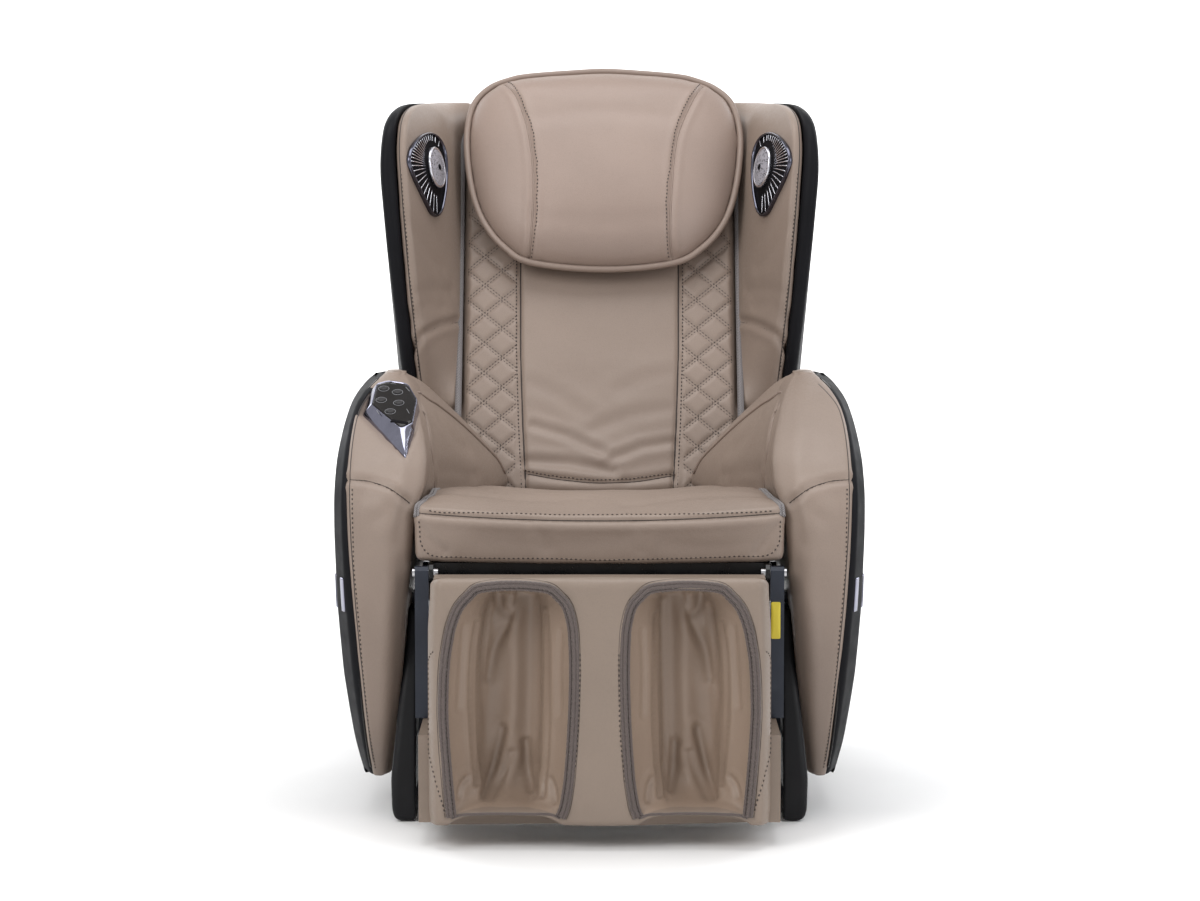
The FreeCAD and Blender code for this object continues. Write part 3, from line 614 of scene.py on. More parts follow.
def seam(name, o, pts, direction, body, mat=None, r=0.0011, sink=0.0006, stitch=(), tmat=None,
         pitch=0.0062, side=None):
    """Lays a seam cord on a surface, with stitch rows at the given offsets in metres beside it."""
    t = tree(o)
    H, N = drop(t, pts, direction)
    if len(H) < 3:
        return
    parts = []
    if r:
        parts.append(tube_vf(H - N * sink, r, 6))
        v, f = parts[-1]
        make(name, v, f, mat or M_STI, body)
    H, N = steady(H, 9), steady(N, 15)
    N /= np.maximum(np.linalg.norm(N, axis=1), 1e-9)[:, None]
    T = steady(np.gradient(H, axis=0), 9)
    T /= np.maximum(np.linalg.norm(T, axis=1), 1e-9)[:, None]
    B = np.cross(N, T)
    B /= np.maximum(np.linalg.norm(B, axis=1), 1e-9)[:, None]
    sv, base = [], []
    for off in stitch:
        H2, N2 = drop(t, H + B * off + N * 0.02, direction if not isinstance(direction, str) else (0, 1, 0), back=0.02)
        if len(H2) > 3:
            N2 = steady(N2, 9)
            N2 /= np.maximum(np.linalg.norm(N2, axis=1), 1e-9)[:, None]
            sv.append(stitch_vf(H2, N2, pitch=pitch))
            base.append(tube_vf(H2 - N2 * 0.0006, 0.0009, 6))
    if sv:
        v, f = join(sv)
        if v:
            make(name + "_stitches", v, f, tmat or M_STI, body, outward=False)
            v, f = join(base)
            make(name + "_fold", v, f, M_STL, body)


def puff(o, voxel=0.0055, pressure=4.0, cap=0.014, pins=None, pin_r=0.008, frames=20, keep=None,
         stiff=14.0):
    """Blows a closed leather skin up under inner pressure, seams held, and keeps the shape it takes."""
    rm = o.modifiers.new("skin", "REMESH")
    rm.mode = "VOXEL"
    rm.voxel_size = voxel
    rm.use_smooth_shade = True
    dg = bpy.context.evaluated_depsgraph_get()
    me = bpy.data.meshes.new_from_object(o.evaluated_get(dg))
    o.modifiers.clear()
    o.data = me
    me.polygons.foreach_set("use_smooth", [True] * len(me.polygons))
    n = len(me.vertices)
    rest = np.empty(n * 3)
    me.vertices.foreach_get("co", rest)
    rest = rest.reshape(-1, 3)
    g = o.vertex_groups.new(name="held")
    if pins is not None and len(pins):
        t = kd(pins)
        for i in range(n):
            d = t.find(Vector(rest[i]))[2]
            if d < pin_r:
                g.add([i], 1.0, "REPLACE")
    if keep is not None:
        for i in np.where(keep(rest))[0]:
            g.add([int(i)], 1.0, "REPLACE")
    c = o.modifiers.new("blow", "CLOTH")
    s = c.settings
    s.use_pressure = True
    s.uniform_pressure_force = pressure
    s.quality = 6
    s.mass = 0.25
    s.tension_stiffness = s.compression_stiffness = s.shear_stiffness = stiff
    s.bending_stiffness = 0.4
    s.effector_weights.gravity = 0.0
    s.vertex_group_mass = "held"
    c.collision_settings.use_collision = False
    c.point_cache.frame_start, c.point_cache.frame_end = 1, frames
    SC.frame_start, SC.frame_end = 1, frames
    for fr in range(1, frames + 1):
        SC.frame_set(fr)
    dg = bpy.context.evaluated_depsgraph_get()
    e = o.evaluated_get(dg)
    new = np.empty(n * 3)
    e.data.vertices.foreach_get("co", new)
    new = new.reshape(-1, 3)
    o.modifiers.clear()
    d = new - rest
    ln = np.linalg.norm(d, axis=1)
    k = np.where(ln > 1e-9, cap * np.tanh(ln / cap) / np.maximum(ln, 1e-9), 0.0)
    if np.isfinite(new).all():
        me.vertices.foreach_set("co", (rest + d * k[:, None]).ravel())
    me.update()
    o.vertex_groups.clear()
    SC.frame_set(1)
    return o


def relax(o, n=6, f=0.5):
    bm = bmesh.new()
    bm.from_mesh(o.data)
    for _ in range(n):
        bmesh.ops.smooth_vert(bm, verts=bm.verts, factor=f, use_axis_x=True, use_axis_y=True, use_axis_z=True)
    bm.to_mesh(o.data)
    bm.free()
    o.data.update()


def subdivided(o, levels=1):
    m = o.modifiers.new("fine", "SUBSURF")
    m.levels = m.render_levels = levels
    dg = bpy.context.evaluated_depsgraph_get()
    me = bpy.data.meshes.new_from_object(o.evaluated_get(dg))
    o.modifiers.clear()
    o.data = me
    me.polygons.foreach_set("use_smooth", [True] * len(me.polygons))


# ------------------------------------------------------------------ head pillow
PIL = np.array([(7, 739.1), (64, 735.8), (122, 730.1), (150, 723), (181, 708), (206, 681), (218, 632),
                (216, 572.6), (206, 511.7), (189, 465.2), (158, 426), (112, 399), (7, 388.5),
                (-104, 400), (-146, 427), (-175, 465.2), (-193, 511.7), (-203.3, 572.6), (-205.5, 632.3),
                (-196, 680), (-171, 710), (-138, 725), (-109, 731), (-50, 736)], float)


PIL = np.array([7.0, 739.0]) + (PIL - np.array([7.0, 739.0])) * [0.985, 0.957]


def pillow():
    C = np.array([7.0, 568.0])
    out = resample(cr_closed(PIL, 14), n=264, closed=True)
    R = []
    ss = np.concatenate([np.linspace(0.03, 0.80, 22), np.linspace(0.83, 1.0, 12)])
    for s in ss:                     # front, from the middle outwards
        P = C + (out - C) * s
        h = 52.0 * (1 - s ** 3.0) ** 0.62
        roll = 7.0 * np.exp(-((P[:, 1] - 700) / 26.0) ** 2) * (1 - s ** 6)
        R.append(np.stack([P[:, 0], -118.0 - h - roll + 0 * P[:, 0], P[:, 1]], -1))
    for s in ss[::-1][1:]:
        P = C + (out - C) * s
        h = 36.0 * (1 - s ** 4.0) ** 0.6
        R.append(np.stack([P[:, 0], -118.0 + h + 0 * P[:, 0], P[:, 1]], -1))
    V, F = rings(L(np.array(R)))
    o = make("head_pillow_form", V, F, M_PIL, "head_pillow", rep=("head_pillow",))
    edge = L(np.stack([out[:, 0], np.full(len(out), -118.0), out[:, 1]], -1))
    sl = cr_open([(-146, 713), (-126, 674), (-108.2, 607), (-101.3, 530.4), (-105, 440), (-113, 398)], 90)
    sr = cr_open([(160, 709), (138.3, 660), (119, 601.8), (111.5, 530.4), (108, 441.1), (117, 398)], 90)
    to3 = lambda c: L(np.stack([c[:, 0], np.full(len(c), -170.0), c[:, 1]], -1))
    fwd = L(np.array([0, 1.0, 0])) - L(np.array([0, 0.0, 0]))
    hl, _ = drop(tree(o), to3(sl), fwd)
    hr, _ = drop(tree(o), to3(sr), fwd)
    pins = np.concatenate([edge, hl, hr])
    back = lambda P: np.zeros(len(P), bool)
    puff(o, voxel=0.0055, pins=pins, pin_r=0.007, cap=0.013, pressure=4.0, keep=back)
    relax(o, 3)
    subdivided(o)
    for c in (sl, sr):
        H, _ = drop(tree(o), to3(c), fwd)
        crease(o, H, 0.0030, 0.0040, 0.0010)
    # two soft pulls across the middle panel
    for c, dp in (([(-95, 640), (0, 648), (105, 640)], 0.0016), ([(-96, 470), (0, 462), (100, 470)], 0.0014)):
        H, _ = drop(tree(o), to3(cr_open(c, 60)), fwd)
        crease(o, H, dp, 0.016)
    for nm, c, sd in (("pillow_seam_left", sl, 1), ("pillow_seam_right", sr, -1)):
        seam(nm, o, to3(c), fwd, "head_pillow", M_WELT, r=0.0017, sink=0.0003, stitch=(0.0062 * sd,))
    ring = resample(cr_closed(PIL, 14), n=300, closed=True)
    wl = L(np.stack([ring[:, 0], np.full(len(ring), -119.0), ring[:, 1]], -1))
    cen = L(np.array([7.0, -119.0, 568.0]))
    wl = wl + (wl - cen) / np.linalg.norm(wl - cen, axis=1)[:, None] * 0.0030
    V, F = tube_vf(wl, 0.0052, 12, closed=True)
    make("pillow_welt", V, F, M_WELT, "head_pillow")
    inner = C + (ring - C) * 0.955
    seam("pillow_edge", o, to3(np.concatenate([inner, inner[:1]])), fwd, "head_pillow", r=0.0, stitch=(0.0,))
    # the strap that carries the pillow over the top of the back
    P = [(0, -84, 733), (0, -60, 743), (0, -20, 748), (0, 40, 742), (0, 66, 722), (0, 72, 690)]
    c = cr_open(np.array(P, float), 30)
    R = []
    for i in range(len(c)):
        t = c[min(i + 1, len(c) - 1)] - c[max(i - 1, 0)]
        t /= np.linalg.norm(t)
        nn = np.array([0, -t[2], t[1]])
        sq = rpoly([(-46, -1.4), (46, -1.4), (46, 1.4), (-46, 1.4)], [1.2] * 4, 2, 4)
        R.append(c[i] + sq[:, :1] * np.array([1.0, 0, 0]) + sq[:, 1:] * nn)
    V, F = rings(L(np.array(R)))
    make("pillow_strap", V, F, M_LEA, "backrest")
    return o


pillow()


# ------------------------------------------------------------------ backrest cushion
def seam_x(z):
    return np.interp(z, [30, 50, 159, 275, 394, 560, 712], [109, 110.4, 116, 120.2, 121.4, 122, 120])


QX, QZ = 55.0, 49.0


def back_front(x, z):
    ax = np.abs(x)
    sx = seam_x(z)
    y = np.full_like(x, -75.0)
    y -= 5.0 * np.sqrt(np.clip(1 - (ax / 215.0) ** 4, 0, 1))
    # centre panel swells between the two welts
    mid = np.clip(1 - (ax / sx) ** 2, 0, 1)
    y -= 6.0 * mid ** 0.5 * (ax < sx)
    # quilted side bands
    u, v = (ax - 121.0) / QX, z / QZ
    g = 1.0 / math.sqrt(1 / QX ** 2 + 1 / QZ ** 2)
    f1 = np.abs((u + v) - np.round(u + v)) * g
    f2 = np.abs((u - v) - np.round(u - v)) * g
    f = np.minimum(f1, f2)
    band = sstep(ax, 124, 131) * (1 - sstep(ax, 198, 208))
    top = 1 - sstep(z, 560, 640)
    y -= band * top * (3.0 * (1 - np.exp(-(f / 4.6) ** 2)) - 0.8)
    # welt valleys
    y += 3.0 * np.exp(-((ax - sx) / 3.4) ** 2)
    # wrinkles gathering towards the seat
    P = np.stack([x, z], -1)
    low = np.exp(-((z - 120) / 130.0) ** 2) * np.clip(1 - (ax / 128) ** 4, 0, 1)
    w = waves(P, 95.0, 4, 6, stretch=(2.6, 1.0)) * 0.5 + waves(P, 46.0, 8, 6, stretch=(2.4, 1.0)) * 0.12
    y += low * w
    y += 0.7 * waves(P, 260.0, 5, 5)
    # folds: near the seat and where the side welts pull the middle
    for (x0, z0, x1, z1, dp, wd) in ((-100, 156, 4, 112, 2.0, 8), (18, 100, 110, 130, 2.0, 8),
                                     (-110, 98, 20, 80, 2.6, 9), (-10, 150, 104, 184, 1.1, 11),
                                     (-108, 226, -20, 176, 1.0, 12), (30, 214, 112, 244, 0.7, 12)):
        d = polydist(P.reshape(-1, 2), np.array([(x0, z0), ((x0 + x1) / 2, (z0 + z1) / 2 + 5), (x1, z1)]))
        d = d.reshape(x.shape)
        y += dp * np.exp(-(d / wd) ** 2)
        y -= 0.7 * dp * np.exp(-((d - 1.7 * wd) / wd) ** 2)
    # rolled edges
    y += 30.0 * np.clip((ax - 196) / 17.0, 0, 1) ** 2.2
    y += 26.0 * np.clip((z - 690) / 22.0, 0, 1) ** 2.0 + 30.0 * np.clip((64 - z) / 34.0, 0, 1) ** 2.0
    return y


def back_cushion():
    zs = np.concatenate([np.linspace(30, 60, 14)[:-1], np.linspace(60, 690, 250), np.linspace(690, 712, 10)[1:]])
    xs = np.concatenate([np.linspace(-213, -196, 8)[:-1], np.linspace(-196, 196, 176), np.linspace(196, 213, 8)[1:]])
    R = []
    for z in zs:
        zz = np.full_like(xs, z)
        f = np.stack([xs, back_front(xs, zz), zz], -1)
        b = np.stack([np.array([213, 150, 0, -150, -213.0]), np.full(5, -31.0), np.full(5, float(z))], -1)
        R.append(np.concatenate([f, b]))
    V, F = rings(L(np.array(R)))
    o = make("back_cushion_form", V, F, M_LEA, "backrest", rep=("back_cushion",))
    t = tree(o)
    fwd = L(np.array([0, 1.0, 0])) - L(np.array([0, 0.0, 0]))
    z = np.linspace(44, 700, 260)
    for s in (-1, 1):
        pts = L(np.stack([s * seam_x(z), np.full_like(z, -120.0), z], -1))
        H, N = drop(t, pts, fwd)
        V, F = tube_vf(H - N * 0.0002, 0.0014, 8)
        make("back_welt_" + ("left" if s < 0 else "right"), V, F, M_STI, "backrest")
        sv = []
        for off in (6.5,):
            pts = L(np.stack([s * (seam_x(z) + off), np.full_like(z, -120.0), z], -1))
            H, N = drop(t, pts, fwd)
            sv.append(stitch_vf(H, N, pitch=0.0062))
        # double rows of stitching round every diamond
        g = 1.0 / math.sqrt(1 / QX ** 2 + 1 / QZ ** 2)
        for sg in (-1, 1):
            for k in range(-20, 24):
                for off in (-2.1, 2.1):
                    xx = np.linspace(126, 203, 28)
                    zz = (k + off / g - sg * (xx - 121.0) / QX) * QZ
                    ok = (zz > 44) & (zz < 600)
                    if ok.sum() < 4:
                        continue
                    pts = L(np.stack([s * xx[ok], np.full(ok.sum(), -120.0), zz[ok]], -1))
                    H, N = drop(t, pts, fwd)
                    if len(H) > 3:
                        sv.append(stitch_vf(H, N, pitch=0.0058, half=0.0021, wide=0.00062))
        v, f = join(sv)
        make("back_stitches_" + ("left" if s < 0 else "right"), v, f, M_STI, "backrest",
             outward=False)
        # silver-grey piping between the cushion and the wing
        zz = np.linspace(120, 684, 120)
        pts = L(np.stack([np.full_like(zz, s * 214.5), -72.0 - 3 * np.sin(zz / 90.0), zz], -1))
        V, F = tube_vf(pts, 0.0050, 10)
        make("back_piping_" + ("left" if s < 0 else "right"), V, F, M_SATIN, "backrest")
    # curved seam of the lower middle panel
    c = cr_open([(-108, 78), (-60, 68), (0, 62), (60, 66), (108, 76)], 90)
    pts = L(np.stack([c[:, 0], np.full(len(c), -120.0), c[:, 1]], -1))
    H, _ = drop(t, pts, fwd)
    crease(o, H, 0.003, 0.005, 0.001)
    seam("back_low_seam", o, pts, fwd, "backrest", stitch=(0.005,))
    return o


back_cushion()


# ------------------------------------------------------------------ side wings of the back
w_y = S([150, 170, 192, 216, 262, 330, 400, 460, 510, 540, 562, 592, 620, 645, 672, 700, 716, 740],
        [20, -20, -62, -86, -136, -186, -232, -264, -284, -290, -288, -268, -238, -200, -150, -98, -68, -30], 9)
w_x = S([150, 192, 214, 325, 430, 521, 576, 612, 650, 690, 716], [264, 268, 273, 288, 298, 305, 303, 297, 286, 272, 262], 12)
sh_f = S([150, 200, 288, 400, 490, 520, 570, 610, 650, 690, 730, 766],
         [288, 294, 307, 321, 330, 330, 326, 316, 302, 285, 268, 250], 12)
sh_b = S([150, 220, 300, 400, 520, 590, 640, 700, 740, 766], [291, 302, 313, 323, 331, 329, 320, 302, 286, 262], 14)
sh_y = S([150, 190, 260, 520, 600, 660, 720, 766], [104, 120, 129, 129, 121, 106, 86, 60], 16)


def wing(s):
    zs = np.concatenate([np.linspace(192, 205, 6), np.linspace(209, 700, 112), np.linspace(703, 716, 6)])
    R = []
    for z in zs:
        xo, yf = float(w_x(z)), float(w_y(z))
        end = max(0.0, (204 - z) / 12.0, (z - 705) / 11.0)
        e = 7.0 * (1 - math.sqrt(max(0.0, 1 - min(1.0, end) ** 2)))
        xin = 214.5 - 16.0 * float(sstep(z, 630, 700))
        P = rpoly([(xin, -24), (xin, -72), (xo - 13, yf + 2), (xo, yf + 9), (min(314, float(sh_b(z)) - 9) - 20 * float(sstep(z, 650, 700)), -24)],
                  [3, 10, 11, 9, 6], k=7, m=[4, 34, 4, 16, 8])
        # the inner face is stuffed: it swells between the piping and the front edge
        a, b = np.array([xin, -72.0]), np.array([xo - 13, yf + 2.0])
        d = b - a
        ln = np.linalg.norm(d)
        nrm = np.array([-abs(d[1]), -abs(d[0])]) / ln
        t = np.clip(((P - a) @ d) / ln ** 2, 0, 1)
        off = np.abs((P - a) @ np.array([d[1], -d[0]])) / ln
        near = np.exp(-(off / 6.0) ** 2)
        P = P + (np.sin(math.pi * t) ** 0.8 * min(3.5, ln * 0.03) * near)[:, None] * nrm
        if e:
            P = inset(P, e)
        R.append(np.stack([s * P[:, 0], P[:, 1], np.full(len(P), z)], -1))
    R = np.array(R)
    R[..., 1] += 0.5 * waves(R * np.array([1, 1, 1.0]), 150.0, 21, 5)
    V, F = rings(L(R))
    side = "left" if s < 0 else "right"
    o = make("wing_" + side + "_form", V, F, M_LEA, "backrest", rep=("wing_pad_" + side,))
    fwd = L(np.array([0, 1.0, 0])) - L(np.array([0, 0.0, 0]))
    P3 = lambda c: L(np.stack([s * c[:, 0], np.full(len(c), -330.0), c[:, 1]], -1))
    c = cr_open([(286, 262), (262, 285), (240, 308), (217.5, 332)], 60)
    H, _ = drop(tree(o), P3(c), fwd)
    crease(o, H, 0.0035, 0.005, 0.0012)
    seam("wing_seam_" + side, o, P3(c), fwd, "backrest", r=0.0009, stitch=())
    # soft pulls in the leather of the lower wing
    for q, dp in (([(276, 330), (250, 352), (226, 372)], 0.0016), ([(280, 300), (262, 322), (238, 338)], 0.0014),
                  ([(285, 420), (262, 400), (240, 392)], 0.0010)):
        H, _ = drop(tree(o), P3(cr_open(q, 40)), fwd)
        crease(o, H, dp, 0.010, 0.0006)
    zz = np.linspace(214, 690, 160)
    edge = np.stack([w_x(zz) - 4.0, zz], -1)
    seam("wing_edge_" + side, o, P3(edge), fwd, "backrest", r=0.0010, sink=0.0002, stitch=())
    low = edge[zz < 500] - np.array([5.5, 0])
    seam("wing_sewn_" + side, o, P3(low), fwd, "backrest", r=0.0, stitch=(0.0,))
    return o


WINGS = {s: wing(s) for s in (-1, 1)}


# ------------------------------------------------------------------ black shell round the back
def back_shell():
    zs = np.concatenate([np.linspace(150, 160, 5), np.linspace(165, 715, 92), np.linspace(717, 724, 5),
                         np.linspace(726, 734, 4), np.linspace(736, 741, 5)])
    R = []
    for z in zs:
        xf, xb, yr, yf = float(sh_f(z)), float(sh_b(z)), float(sh_y(z)), float(w_y(min(z, 716.0)))
        if z > 700:
            yf = -98.0 + (z - 700) * 3.0
        if z > 716:
            yf += 0.0
        xi = min(float(w_x(min(z, 716))) + 2.0, xf - 9)
        e = max(0.0, (160 - z) / 10.0, (z - 733.5) / 8.0)
        e = 5.0 * (1 - math.sqrt(max(0.0, 1 - min(1.0, e) ** 2)))
        rc = 78.0 - 52.0 * float(sstep(z, 690, 738))
        h = yr - rc
        half = [(xf - 9, yf + 3.5), (xf - 4, yf + 5.5), (xf - 1, yf + 10), (xf, yf + 17)]
        seg = np.stack([np.interp(np.linspace(0, 1, 22), [0, 0.5, 1], [xf, (xf + 2 * xb) / 3, xb]),
                        np.linspace(yf + 17, h, 22)], -1)[1:]
        th = np.linspace(0, math.pi / 2, 13)[1:]
        arc = np.stack([xb - rc + rc * np.cos(th), h + (rc - 6) * np.sin(th)], -1)
        cen = np.stack([np.linspace(xb - rc, 0, 15)[1:], yr - 6 + 6 * np.linspace(0, 1, 14) ** 0.8], -1)
        out = np.concatenate([half, seg, arc, cen])
        wi = min(316.0, xb - 7)
        inn = np.stack([np.interp(np.linspace(0, 1, 22), [0, 0.45, 1], [xi + 1, wi, wi]),
                        np.linspace(yf + 20, h - 8, 22)], -1)
        arc2 = np.stack([wi - rc + 6 + (rc - 6) * np.cos(th), h - 8 + (rc - 12) * np.sin(th)], -1)
        cen2 = np.stack([np.linspace(wi - rc + 6, 0, 15)[1:], np.full(14, yr - 14.0)], -1)
        lip = np.array([(xf - 14, yf + 4), (xi + 3, yf + 8), (xi, yf + 13)])
        k = float(sstep(z, 704, 712))
        inner = np.concatenate([lip, inn, arc2, cen2])
        flat = np.stack([np.linspace(inner[0, 0], 0, len(inner)), np.full(len(inner), max(yf + 8.0, -18.0))], -1)
        inner = inner * (1 - k) + flat * k
        loop = np.concatenate([out * [-1, 1], (out[::-1][1:]), inner, inner[::-1][1:] * [-1, 1]])
        if e:
            loop = loop + (np.array([0, (yf + yr) / 2]) - loop) * (e / 200.0)
        R.append(np.concatenate([loop, np.full((len(loop), 1), z)], 1))
    V, F = rings(L(np.array(R)))
    o = make("back_shell_form", V, F, M_SHELL, "backrest", rep=("wing_shells", "rear_cover"))
    bv = o.modifiers.new("soft", "SMOOTH")
    bv.factor, bv.iterations = 0.35, 2
    # moulded lines and air slots on the rear face
    bck = L(np.array([0, -1.0, 0])) - L(np.array([0, 0.0, 0]))
    loops = cr_closed([(-196, 250), (0, 236), (196, 250), (214, 420), (180, 640), (0, 662), (-180, 640),
                       (-214, 420)], 16)
    pts = L(np.stack([loops[:, 0], np.full(len(loops), 400.0), loops[:, 1]], -1))
    t = tree(o)
    H, N = drop(t, pts, bck)
    V, F = tube_vf(np.concatenate([H]), 0.0016, 8, closed=True)
    make("rear_cover_line", V, F, M_GLOSS, "backrest")
    parts = []
    for i in range(7):
        z = 300 + i * 13.0
        w = 66 - 3 * abs(i - 3)
        c = resample(np.array([(-w, z), (w, z)], float), n=16)
        H, N = drop(t, L(np.stack([c[:, 0], np.full(16, 400.0), c[:, 1]], -1)), bck)
        parts.append(tube_vf(H, 0.0022, 8, flat=1.0))
    v, f = join(parts)
    make("rear_cover_slats", v, f, M_GLOSS, "backrest")
    for s in (-1, 1):
        for z in (200, 470, 640):
            q = L(np.array([[s * 250.0, 400.0, float(z)]]))
            H, N = drop(t, q, bck)
            if len(H):
                th = np.linspace(0, 2 * math.pi, 20, endpoint=False)
                a = np.cross(N[0], [1, 0, 0])
                a /= np.linalg.norm(a)
                b = np.cross(N[0], a)
                rr = []
                for rad, h in ((0.0062, -0.001), (0.0062, 0.0008), (0.0052, 0.0014), (0.0028, 0.0014),
                               (0.0026, 0.0002)):
                    rr.append(H[0] + N[0] * h + rad * (np.cos(th)[:, None] * a + np.sin(th)[:, None] * b))
                V, F = rings(rr)
                make(f"rear_screw_{'l' if s < 0 else 'r'}{z}", V, F, M_BLACKBAR, "backrest")
    return o


back_shell()


# ------------------------------------------------------------------ loudspeakers in the wings
TEAR = np.array([(261.5, 590.6), (252.3, 598.8), (245.3, 595.5), (240.8, 585.8), (238.7, 570.1), (237.9, 551.2), (238.4, 529.0), (240.3, 505.9), (243.5, 482.1), (246.7, 469.6), (250.7, 460.8), (255.1, 458.0), (259.2, 458.8), (265.5, 465.5), (272.3, 473.8), (279.3, 482.1), (284.8, 491.0), (288.7, 500.1), (289.5, 510.6), (286.8, 527.6), (279.9, 549.8), (271.3, 572.2)],
                float)


def speaker(s):
    side = "left" if s < 0 else "right"
    t = tree(WINGS[s])
    fwd = L(np.array([0, 1.0, 0])) - L(np.array([0, 0.0, 0]))
    probe = np.array([(238, 530), (272, 500), (250, 560), (258, 470), (246, 460), (258, 520)], float)
    H = []
    for x, z in probe:
        h, _ = drop(t, L(np.array([[s * x, -330.0, z]])), fwd)
        H.append(h[0])
    H = np.array(H)
    # back to lean millimetres
    d = H[:, 1] * 1000 - YS - 520.0
    zz = H[:, 2] * 1000 - 330.0
    yl = d * CL - zz * SL
    zl = d * SL + zz * CL
    A = np.stack([np.ones(6), np.abs(H[:, 0]) * 1000, zl], -1)
    k0, k1, k2 = np.linalg.lstsq(A, yl, rcond=None)[0]
    n = np.array([k1, -1.0, k2])
    n /= np.linalg.norm(n)

    out = resample(cr_closed(TEAR, 12), n=140, closed=True)

    # what the leather does beyond that plane, as a smooth cubic
    def terms(c):
        a, b = (c[:, 0] - 262.0) / 30.0, (c[:, 1] - 520.0) / 75.0
        return np.stack([a ** i * b ** j for i in range(4) for j in range(4 - i)], -1)

    gx, gz = np.meshgrid(np.arange(236, 292, 4.0), np.arange(454, 606, 6.0))
    G = np.stack([gx.ravel(), gz.ravel()], -1)
    G = G[inside(G, out)]
    Q, Y = [], []
    for x, z in G:
        h, _ = drop(t, L(np.array([[s * x, -330.0, z]])), fwd)
        if len(h):
            d1, z1 = h[0][1] * 1000 - YS - 520.0, h[0][2] * 1000 - 330.0
            Q.append((x, z))
            Y.append(d1 * CL - z1 * SL - (k0 + k1 * x + k2 * z))
    cf = np.linalg.lstsq(terms(np.array(Q)), np.array(Y), rcond=None)[0]

    def face(c):
        c = np.asarray(c, float)
        return k0 + k1 * c[:, 0] + k2 * c[:, 1] + terms(c) @ cf

    def P(c, h):
        c = np.asarray(c, float)
        q = np.stack([c[:, 0], face(c), c[:, 1]], -1) + n * h
        q[:, 0] *= s
        return L(q)

    cen = np.array([260.4, 519.5])
    sc = lambda f: cen + (out - cen) * f
    # bezel: rises out of the leather, rolls over, falls to the dark dish
    R = [P(sc(0.98), -3), P(sc(1.00), 3.0), P(sc(0.99), 5.6), P(sc(0.97), 6.8), P(sc(0.95), 6.2),
         P(sc(0.935), 4.0), P(sc(0.93), -3)]
    V, F = rings(R, False, False)
    m = len(out)
    F += [((len(R) - 1) * m + j, (len(R) - 1) * m + (j + 1) % m, (j + 1) % m, j) for j in range(m)]
    make("speaker_bezel_" + side, V, F, M_RIM, "backrest", rep=("speakers",))
    R = [P(sc(0.94), -2), P(sc(0.94), 3.0), P(sc(0.75), 3.0), P(sc(0.5), 3.2), P(sc(0.25), 3.4)]
    V, F = rings(R)
    make("speaker_dish_" + side, V, F, M_DARK, "backrest")
    # disc, ring and hub, drawn round in the plane of the speaker
    cd = np.array([254.4, 535.8])
    ux = np.array([1.0, k1, 0.0])
    ux /= np.linalg.norm(ux)
    uz = np.array([0.0, k2, 1.0])
    uz /= np.linalg.norm(uz)
    o0 = np.array([cd[0], float(face(cd[None])[0]), cd[1]])
    th = np.linspace(0, 2 * math.pi, 64, endpoint=False)

    def ringat(r, h, ox=0.0):
        q = o0 + n * h + r * (np.cos(th)[:, None] * ux + np.sin(th)[:, None] * uz) + ox * ux
        q[:, 0] *= s
        return L(q)

    V, F = rings([ringat(27.5, 2), ringat(27.5, 8.4), ringat(26.5, 9.4), ringat(25.5, 9.2), ringat(21, 10.2),
                  ringat(14, 11.2), ringat(7, 11.6), ringat(2, 11.7)])
    make("speaker_disc_" + side, V, F, M_DISC, "backrest")
    R = [ringat(30.5, 0), ringat(30.8, 8.0), ringat(30.0, 9.4), ringat(28.4, 9.6), ringat(27.2, 8.6), ringat(27.2, 1)]
    V, F = rings(R, False, False)
    F += [((len(R) - 1) * 64 + j, (len(R) - 1) * 64 + (j + 1) % 64, (j + 1) % 64, j) for j in range(64)]
    make("speaker_ring_" + side, V, F, M_SLAT, "backrest")
    V, F = rings([ringat(4.6, 8), ringat(4.6, 12.0), ringat(3.8, 12.8), ringat(2.0, 13.0)])
    make("speaker_hub_" + side, V, F, M_DARK, "backrest")
    # fan of thin vanes between the disc and the outer rim
    parts = []
    for i, j in enumerate(range(1, 140, 3)):
        e = sc(0.915)[j]
        if e[0] < 250.0 and e[1] > 470:
            continue
        v = e - cd
        d0 = np.array([v[0] / max(abs(ux[0]), 0.2), v[1]])
        ln = np.linalg.norm(d0)
        if ln < 42:
            continue
        st = cd + v * min(0.9, 43.0 / ln)
        a = np.linspace(0, 1, 6)[:, None]
        c = st + (e - st) * a
        parts.append(tube_vf(P(c, 4.5), 0.00068, 6, flat=1.2))
    v, f = join(parts)
    make("speaker_vanes_" + side, v, f, M_SLAT, "backrest")


speaker(-1)
speaker(1)


# ------------------------------------------------------------------ seat cushion
def seat_top(x, d):
    ax = np.abs(x)
    base = np.interp(d, [0, 20, 60, 130, 240, 360, 450, 464], [0, 7, 12, 14, 5, -8, -17, -22])
    dish = 13.0 * sstep(ax, 60, 225)
    return 424.0 + base + dish * sstep(d, -10, 60) + 11.0 * (ax / 254.0) ** 2 * (1 - sstep(d, 0, 60))


